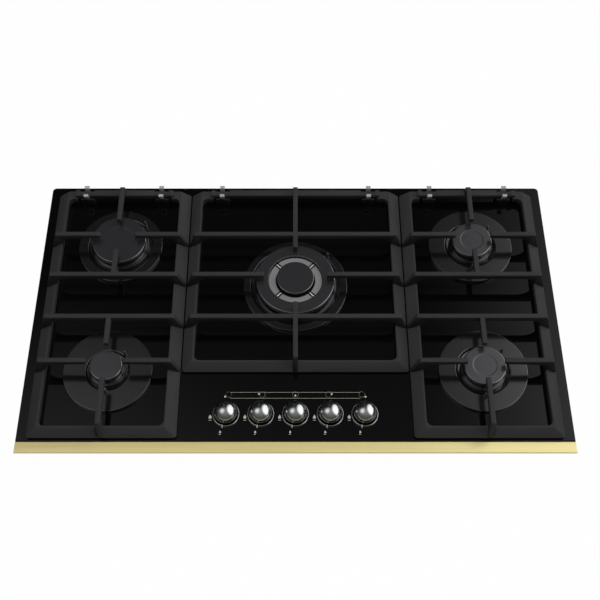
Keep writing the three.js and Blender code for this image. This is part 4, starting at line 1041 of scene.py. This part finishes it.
# %% [markdown]
# ## The wok burner
# The big burner in the middle has two rings of flame. A broad enamelled ring covers the outer
# one, and small teeth below it leave its ports open. Inside stands a bright aluminium ring that
# four pairs of slots cross, with a rib between the two slots of a pair whose pale finish is a
# painted reflection of a bright slot floor. The slots are cut with a live Boolean, since they
# cross a turned shape, and dark fills, which are painted shade, keep them black to the bottom.
# The cap in the middle is a thin disc on a black neck. It stands 4 mm higher than its solid, over
# a black well, so that a dark crescent shows in front of it. The black of neck and well is
# painted shade in that gap. The inner edge of the broad ring is undercut for the dark crescent too.

# %% The wok burner's plate and body
WOK_TOP = GLASS_TOP + 28
RING_CAP_BASE = WOK_TOP - 8
FLAME_TOP = GLASS_TOP + 22
FLAME_FLOOR = GLASS_TOP + 10
TOOTH_HALF = 2.6

wok_x, wok_y, wok_cap = WOK
wok_ring = wok_cap - PORT_INSET
ring_top = RING_CAP_BASE - 0.3
ring_base = ring_top - PORT_HEIGHT


def port_teeth(radius, depth, z0, z1, x, y):
    """Small upright teeth round a ring, which leave the flame ports between them."""
    count = round(2 * math.pi * radius / PORT_PITCH)
    bm = bmesh.new()
    for step in range(count):
        tooth = block(radius - depth, radius, -TOOTH_HALF, TOOTH_HALF, z0, z1, edge=0.3)
        pour(tooth, bm, Matrix.Rotation(2 * math.pi * step / count, 4, "Z"))
    bm.transform(Matrix.Translation(mm(x, y, 0)))
    return bm


spill_plate("wok", wok_x, wok_y, *WOK_PLATE)
body_corners = [
    (8, BODY_FOOT), (45.7, BODY_FOOT), (45.7, BODY_SEAT), (wok_ring + 6, BODY_SEAT),
    (wok_ring + 6, BODY_SEAT + 3), (wok_ring + 1.5, BODY_SEAT + 3.6), (wok_ring - 0.5, ring_base),
    (49.5, ring_base), (49.5, FLAME_FLOOR - 0.3), (8, FLAME_FLOOR - 0.3),
]
ring_corners = [
    (49.5, ring_base - 0.5), (wok_ring - 3, ring_base - 0.5), (wok_ring - 3, ring_top),
    (49.5, ring_top),
]
wok_body = turned(body_corners, [((3, 4), 0.8, 3)], x=wok_x, y=wok_y)
pour(turned(ring_corners, x=wok_x, y=wok_y), wok_body)
pour(port_teeth(wok_ring, 5, ring_base - 0.3, ring_top, wok_x, wok_y), wok_body)
add_piece("body_wok", wok_body, BURNER_ALLOY, ["burner_body_wok"])
print("wok burner at", (wok_x, wok_y))

# %% The wok burner's caps
CAP_LIFT = 4

ring_cap_corners = [
    (46.8, WOK_TOP - 3), (49, RING_CAP_BASE), (wok_cap, RING_CAP_BASE), (wok_cap, WOK_TOP),
    (wok_cap - 2.4, WOK_TOP), (48, WOK_TOP), (46.8, WOK_TOP),
]
ring_cap_rounding = [((3,), 1.4, 6), ((6,), 0.2, 2), ((1, 2), 0.8, 2)]
ring_cap = turned(ring_cap_corners, ring_cap_rounding, steps=128, x=wok_x, y=wok_y)
add_piece("ring_cap_wok", ring_cap, CAP_ENAMEL, ["wok_ring_cap"])

lifted = WOK_TOP + CAP_LIFT
inner_cap_corners = [
    (0, lifted - 3.5), (30, lifted - 3.5), (32, lifted - 2.5), (32, lifted), (30, lifted), (0, lifted),
]
inner_cap = turned(inner_cap_corners, [((3,), 1, 5), ((2,), 0.4, 2)], x=wok_x, y=wok_y)
add_piece("cap_wok", inner_cap, CAP_ENAMEL, ["burner_cap_wok"])
# Neck and well are one black piece, painted shade under the lifted cap.
shade_well_corners = [
    (0, FLAME_TOP - 7.7), (34, FLAME_TOP - 7.7), (34, FLAME_TOP - 0.9), (33.3, FLAME_TOP - 0.9),
    (33.3, FLAME_TOP - 7), (25, FLAME_TOP - 7), (25, lifted - 3.4), (0, lifted - 3.4),
]
shade_well = turned(shade_well_corners, x=wok_x, y=wok_y)
add_piece("shade_well_wok", shade_well, BLACK_PLASTIC, ["burner_cap_wok"])
print("inner cap lifted by", CAP_LIFT, "mm")

# %% The bright flame ring
SLOT_OFFSET = 2.6  # from the middle of a pair to the middle of each slot
SLOT_HALF = 1.5
SHADE_FILL_HALF = 1.45
NOTCH_HALF = 0.9

flame_corners = [
    (8, FLAME_FLOOR), (46, FLAME_FLOOR), (46, FLAME_TOP), (44.8, FLAME_TOP), (35.4, FLAME_TOP),
    (34.2, FLAME_TOP), (34.2, FLAME_TOP - 8), (8, FLAME_TOP - 8),
]
flame_form = turned(flame_corners, [((2, 5), 0.6, 3)], steps=128, x=wok_x, y=wok_y)
flame_ring = add_piece(
    "flame_ring", flame_form, BRIGHT_ALUMINIUM, ["wok_flame_ring"]
)
slots = bmesh.new()
slot_shade_fill = bmesh.new()
reflection_ribs = bmesh.new()
for heading in (45, 135, 225, 315):
    place = place_at(wok_x, wok_y, heading)
    for side in (-SLOT_OFFSET, SLOT_OFFSET):
        slot = (30, 48, side - SLOT_HALF, side + SLOT_HALF, FLAME_FLOOR - 1, FLAME_TOP + 1)
        pour(block(*slot, edge=0), slots, place)
        # a dark fill in each slot, painted shade that keeps it black to the bottom
        shade_fill = (34.4, 45.8, side - SHADE_FILL_HALF, side + SHADE_FILL_HALF, FLAME_FLOOR - 0.5, FLAME_TOP - 0.6)
        pour(block(*shade_fill, edge=0), slot_shade_fill, place)
    # a rib between the slots of a pair, whose pale finish is a painted reflection
    pour(block(35, 45.4, -1, 1, FLAME_TOP - 1, FLAME_TOP + 0.4, edge=0.3), reflection_ribs, place)
for heading in (90, 270):
    notch = block(44.4, 48, -NOTCH_HALF, NOTCH_HALF, FLAME_TOP - 2, FLAME_TOP + 1, edge=0)
    pour(notch, slots, place_at(wok_x, wok_y, heading))
cut_with(flame_ring, slots)
# the dark fills of the slots, painted shade
add_piece("slot_shade_fill", slot_shade_fill, BLACK_PLASTIC, ["wok_flame_ring"])
add_piece("flame_reflection_ribs", reflection_ribs, REFLECTION_ALUMINIUM, ["wok_flame_ring"])
print("flame ring with 4 pairs of slots")

# %% [markdown]
# ## Spark and flame sensing
# Beside each cap stand a spark electrode, a fine metal pin in a dark ceramic collar, and a dark
# flame sensor. Their cores are part of the cup below, so here each core is clad.

# %% Electrodes and flame sensors
POST_CLEAR = 12  # from the edge of the cap to the middle of a post


def beside_cap(x, y, cap, degrees):
    """The place of a post, a little outside the cap at a heading."""
    angle = math.radians(degrees)
    reach = cap + POST_CLEAR
    return x + reach * math.cos(angle), y + reach * math.sin(angle)


collars = bmesh.new()
pins = bmesh.new()
foot = GLASS_TOP + 4
collar_top = foot + 13.1
for x, y, cap in [*BURNERS.values(), WOK]:
    ex, ey = beside_cap(x, y, cap, -90)
    sx, sy = beside_cap(x, y, cap, 45)
    collar = [
        (0, foot), (4, foot), (4, foot + 5), (2.9, foot + 7), (2.9, collar_top), (0, collar_top),
    ]
    pour(turned(collar, [((2, 3, 4), 0.5, 2)], steps=32, x=ex, y=ey), collars)
    pin = [(0, collar_top), (0.9, collar_top), (0.9, collar_top + 1.3), (0, collar_top + 1.3)]
    pour(turned(pin, [((2,), 0.4, 3)], steps=24, x=ex, y=ey), pins)
    probe = [(0, foot), (3, foot), (3, foot + 4), (2, foot + 5), (2, foot + 16.2), (0, foot + 16.2)]
    pour(turned(probe, [((2, 3), 0.5, 2), ((4,), 0.9, 3)], steps=32, x=sx, y=sy), collars)
add_piece("electrode_collars", collars, CERAMIC)
add_piece("electrode_pins", pins, STEEL)
print("electrodes and sensors:", len(BURNERS) + 1, "of each")

# %% [markdown]
# ## The clips
# A clip is a black block on the glass with a chromed spring strap. The strap has two legs that
# hold the journal of the rail and curl outwards at the top, so that the rail snaps in. A leg is
# drawn as its flat section, which is extruded up and then spun outwards round the curl.

# %% Make the clips
RAIL_PLAY = 0.4
CLIPS = {
    "left_outer": -380, "left_inner": -244, "centre_left": -133,
    "centre_right": 133, "right_inner": 244, "right_outer": 380,
}


def strap_leg(side):
    """One leg of the strap with its curl, beside the rail on the given side."""
    bm = bmesh.new()
    inner = RAIL_RADIUS + RAIL_PLAY
    thick = 1.3
    foot = GLASS_TOP + 9
    curl = RAIL_LEVEL + 8.5
    radius = 3.2
    corners = [(-4, inner), (4, inner), (4, inner + thick), (-4, inner + thick)]
    section = bm.faces.new([bm.verts.new(mm(x, y, foot)) for x, y in corners])
    top = extrude(bm, [section], mm(0, 0, curl - foot))
    bmesh.ops.spin(
        bm, geom=top, cent=mm(0, inner + radius, curl), axis=(1, 0, 0),
        angle=math.radians(-235), steps=14,
    )
    bmesh.ops.recalc_face_normals(bm, faces=bm.faces[:])
    if side < 0:
        bmesh.ops.scale(bm, vec=(1, -1, 1), verts=bm.verts[:])
        bmesh.ops.reverse_faces(bm, faces=bm.faces[:])
    return bm


def clip_block():
    """The block below the rail, with a hollow that cradles the journal."""
    half = 9.5
    top = GLASS_TOP + 15
    cradle = RAIL_RADIUS + RAIL_PLAY
    dip = math.sqrt(cradle ** 2 - (RAIL_LEVEL - top) ** 2)
    corners = [
        (-half, ON_GLASS), (half, ON_GLASS), (half, top), (dip, top), (dip, top - 2.4),
        (-dip, top - 2.4), (-dip, top), (-half, top),
    ]
    return cast(corners, 24, [((2, 7), 2, 4), ((4, 5), 2, 5)], edge=0.6)


for name, x in CLIPS.items():
    base_block = clip_block()
    base_block.transform(place_at(x, RAIL_Y, 90))
    add_piece(
        f"clip_block_{name}", base_block, BLACK_PLASTIC, [f"rail_clip_{name}"]
    )
    strap = bmesh.new()
    for side in (-1, 1):
        pour(strap_leg(side), strap, Matrix.Translation(mm(x, RAIL_Y, 0)))
    add_piece(f"clip_strap_{name}", strap, SPRING_STEEL, [f"rail_clip_{name}"])
print("clips:", len(CLIPS))

# %% [markdown]
# ## The knobs
# Each knob is a chromed ball with its foot cut off, on a black seat in a thin bright ring. A
# short groove on the crown is the pointer. The ball is a UV sphere cut by a plane and closed.

# %% Make the knobs and their rings
KNOB_Y = -193.8
KNOB_RADIUS = 18.5
KNOB_CENTRE = GLASS_TOP + 10
KNOB_BASE = GLASS_TOP + 5.4
GROOVE_LEVELS = (KNOB_CENTRE + 16.2, KNOB_CENTRE + 20)
KNOBS = {"front_left": -113, "rear_left": -56.5, "wok": 0, "rear_right": 56.5, "front_right": 113}


def knob_form(x):
    """A ball with a flat foot."""
    bm = bmesh.new()
    bmesh.ops.create_uvsphere(bm, u_segments=96, v_segments=64, radius=KNOB_RADIUS * MM)
    bm.transform(Matrix.Translation(mm(x, KNOB_Y, KNOB_CENTRE)))
    whole = bm.verts[:] + bm.edges[:] + bm.faces[:]
    bmesh.ops.bisect_plane(
        bm, geom=whole, plane_co=mm(0, 0, KNOB_BASE), plane_no=(0, 0, -1), clear_outer=True
    )
    rim = [edge for edge in bm.edges if edge.is_boundary]
    bmesh.ops.holes_fill(bm, edges=rim, sides=0)
    return bm


def foot_ring(x, inner, outer, height):
    """A thin ring round the foot of a knob."""
    top = ON_GLASS + height
    corners = [(inner, ON_GLASS), (outer, ON_GLASS), (outer, top), (inner, top)]
    return turned(corners, [((2, 3), 0.5, 4)], x=x, y=KNOB_Y)


for name, x in KNOBS.items():
    knob = add_piece(
        f"dome_{name}", knob_form(x), CHROME, [f"knob_{name}"], f"{name}_knob", sharp=60
    )
    groove = block(x - 2.5, x - 1.3, KNOB_Y - 1.8, KNOB_Y + 7, *GROOVE_LEVELS, edge=0)
    cut_with(knob, groove)
    bezel = foot_ring(x, 20.5, 21.8, 3)
    add_piece(f"bezel_{name}", bezel, CHROME, [f"knob_bezel_{name}"])
    seat = foot_ring(x, 18.9, 20.7, 1.2)
    add_piece(f"seat_{name}", seat, BLACK_PLASTIC, [f"knob_bezel_{name}"])
print("knobs:", len(KNOBS))

# %% [markdown]
# ## The front strip
# The strip is one long extrusion with its upper front edge rounded over and its underside cut
# back. A black bead lies low in the groove between strip and glass and draws the thin dark line
# there: it is the joint, and its black is also painted shade for the depth of the groove.

# %% Make the strip
STRIP_LENGTH = 900
STRIP_FRONT = -260
STRIP_BASE = 48
STRIP_TOP = 54

strip_corners = [
    (18.6, STRIP_BASE), (18.6, STRIP_TOP), (0, STRIP_TOP), (0, STRIP_BASE + 3.2), (10, STRIP_BASE),
]
strip = cast(strip_corners, STRIP_LENGTH, [((2,), 1.6, 5), ((3,), 0.8, 3)], edge=0.4)
strip.transform(place_at(0, STRIP_FRONT, 90))
add_piece("strip", strip, BRUSHED_GOLD, ["front_trim"])
# the black joint bead, whose black is also painted shade low in the groove
joint_shade_bead = block(-449.6, 449.6, -241.3, -240.3, STRIP_BASE + 0.2, STRIP_BASE + 2.5, edge=0.3)
add_piece("strip_joint_shade_bead", joint_shade_bead, BLACK_PLASTIC, ["front_trim"])
print("strip", STRIP_LENGTH, "mm long")

# %% [markdown]
# ## The printed marks
# Pale signs are printed on the glass in front: two long rules behind the knobs with the little
# plans of the burners on them, and flame signs beside the knobs. They are very thin raised
# shapes, as printed enamel is. A flame is a circle drawn out to a point.

# %% Helpers for print
PRINT_LEVEL = GLASS_TOP + 0.02
PRINT_THICK = 0.08


def print_bar(whole, x0, x1, y0, y1, thick=PRINT_THICK):
    """A printed rectangle."""
    pour(block(x0, x1, y0, y1, PRINT_LEVEL, PRINT_LEVEL + thick, edge=0), whole)


def print_ring(whole, x, y, radius, width):
    """A printed ring, or a dot when the width is the radius."""
    top = PRINT_LEVEL + PRINT_THICK
    inner = radius - width
    corners = [(inner, PRINT_LEVEL), (radius, PRINT_LEVEL), (radius, top), (inner, top)]
    pour(turned(corners, steps=36, x=x, y=y), whole)


def print_flame(whole, x, y, width, height):
    """A printed flame: a circle that narrows towards its top."""
    bm = bmesh.new()
    bmesh.ops.create_circle(bm, cap_ends=True, segments=28, radius=1)
    for vert in bm.verts:
        turn = math.atan2(vert.co.x, vert.co.y) % (2 * math.pi)
        vert.co.x = 0.62 * width * math.sin(turn) * math.sin(turn / 2) ** 1.4
        vert.co.y = 0.5 * height * math.cos(turn)
    extrude(bm, bm.faces[:], Vector((0, 0, PRINT_THICK)))
    bmesh.ops.scale(bm, vec=(MM, MM, MM), verts=bm.verts[:])
    pour(bm, whole, Matrix.Translation(mm(x, y, PRINT_LEVEL)))


print("print is", PRINT_THICK, "mm thick")

# %% Print the marks
RULE_ROWS = (-154.6, -165.2)
RULE_HALF_LENGTH = 107
RULE_HALF_WIDTH = 0.19
SIGN_ROW = -158.6
SIGNS = {
    -109.5: (-5.9, -3.8), -54.4: (-5.4, 1.0), 0: (0, -1.6), 54.4: (5.4, 1.0), 109.5: (5.9, -3.8),
}  # the X of each little plan, and the place of its dot

marks = bmesh.new()
for y in RULE_ROWS:
    print_bar(marks, -RULE_HALF_LENGTH, RULE_HALF_LENGTH, y - RULE_HALF_WIDTH, y + RULE_HALF_WIDTH)
for x, (dot_x, dot_y) in SIGNS.items():
    print_ring(marks, x, SIGN_ROW, 5, 0.15)
    print_ring(marks, x + dot_x, SIGN_ROW + dot_y, 1.6, 1.6)
for x in KNOBS.values():
    # full flame on the left of the knob, low flame in front of it, each on a short bar
    print_flame(marks, x - 25.6, KNOB_Y - 4.0, 5.5, 7)
    print_bar(marks, x - 27.9, x - 23.3, KNOB_Y - 10.6, KNOB_Y - 9.8)
    print_flame(marks, x - 8.4, KNOB_Y - 30.3, 3.6, 4.6)
    print_bar(marks, x - 10.4, x - 7.2, KNOB_Y - 34.9, KNOB_Y - 34.1)
    # the raised tick that the groove is read against
    print_bar(marks, x - 5.9, x - 4.9, KNOB_Y - 24.6, KNOB_Y - 19.4, 3.5)
add_piece("printed_marks", marks, PRINT_INK)
print("signs printed:", len(SIGNS) + 2 * len(KNOBS))

# %% [markdown]
# ## The pieces that keep their own shape
# The glass is flat and true as it is, and the works below it are seen only from underneath or
# through the vents. So each of these solids gets its finish and nothing else.

# %% Dress the frame's own nodes
DRESS = {
    "glass_top": BLACK_GLASS,
    "worktop_seal": FOAM,
    "burner_box": ZINC,
    "burner_cup": PLAIN_ALUMINIUM,
    "spindle": STEEL,
    "valve_plug": BRASS,
    "valve_rail": ZINC,
    "gas_manifold": BRASS,
    "gas_inlet": BRASS,
    "cable_gland": BLACK_PLASTIC,
    "spark_generator": BLACK_PLASTIC,
}
dressed = 0
for name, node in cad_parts.items():
    kind = next((start for start in DRESS if name.startswith(start)), None)
    if kind:
        node.material_slots[0].material = DRESS[kind]
        dressed += 1
print("dressed nodes:", dressed)
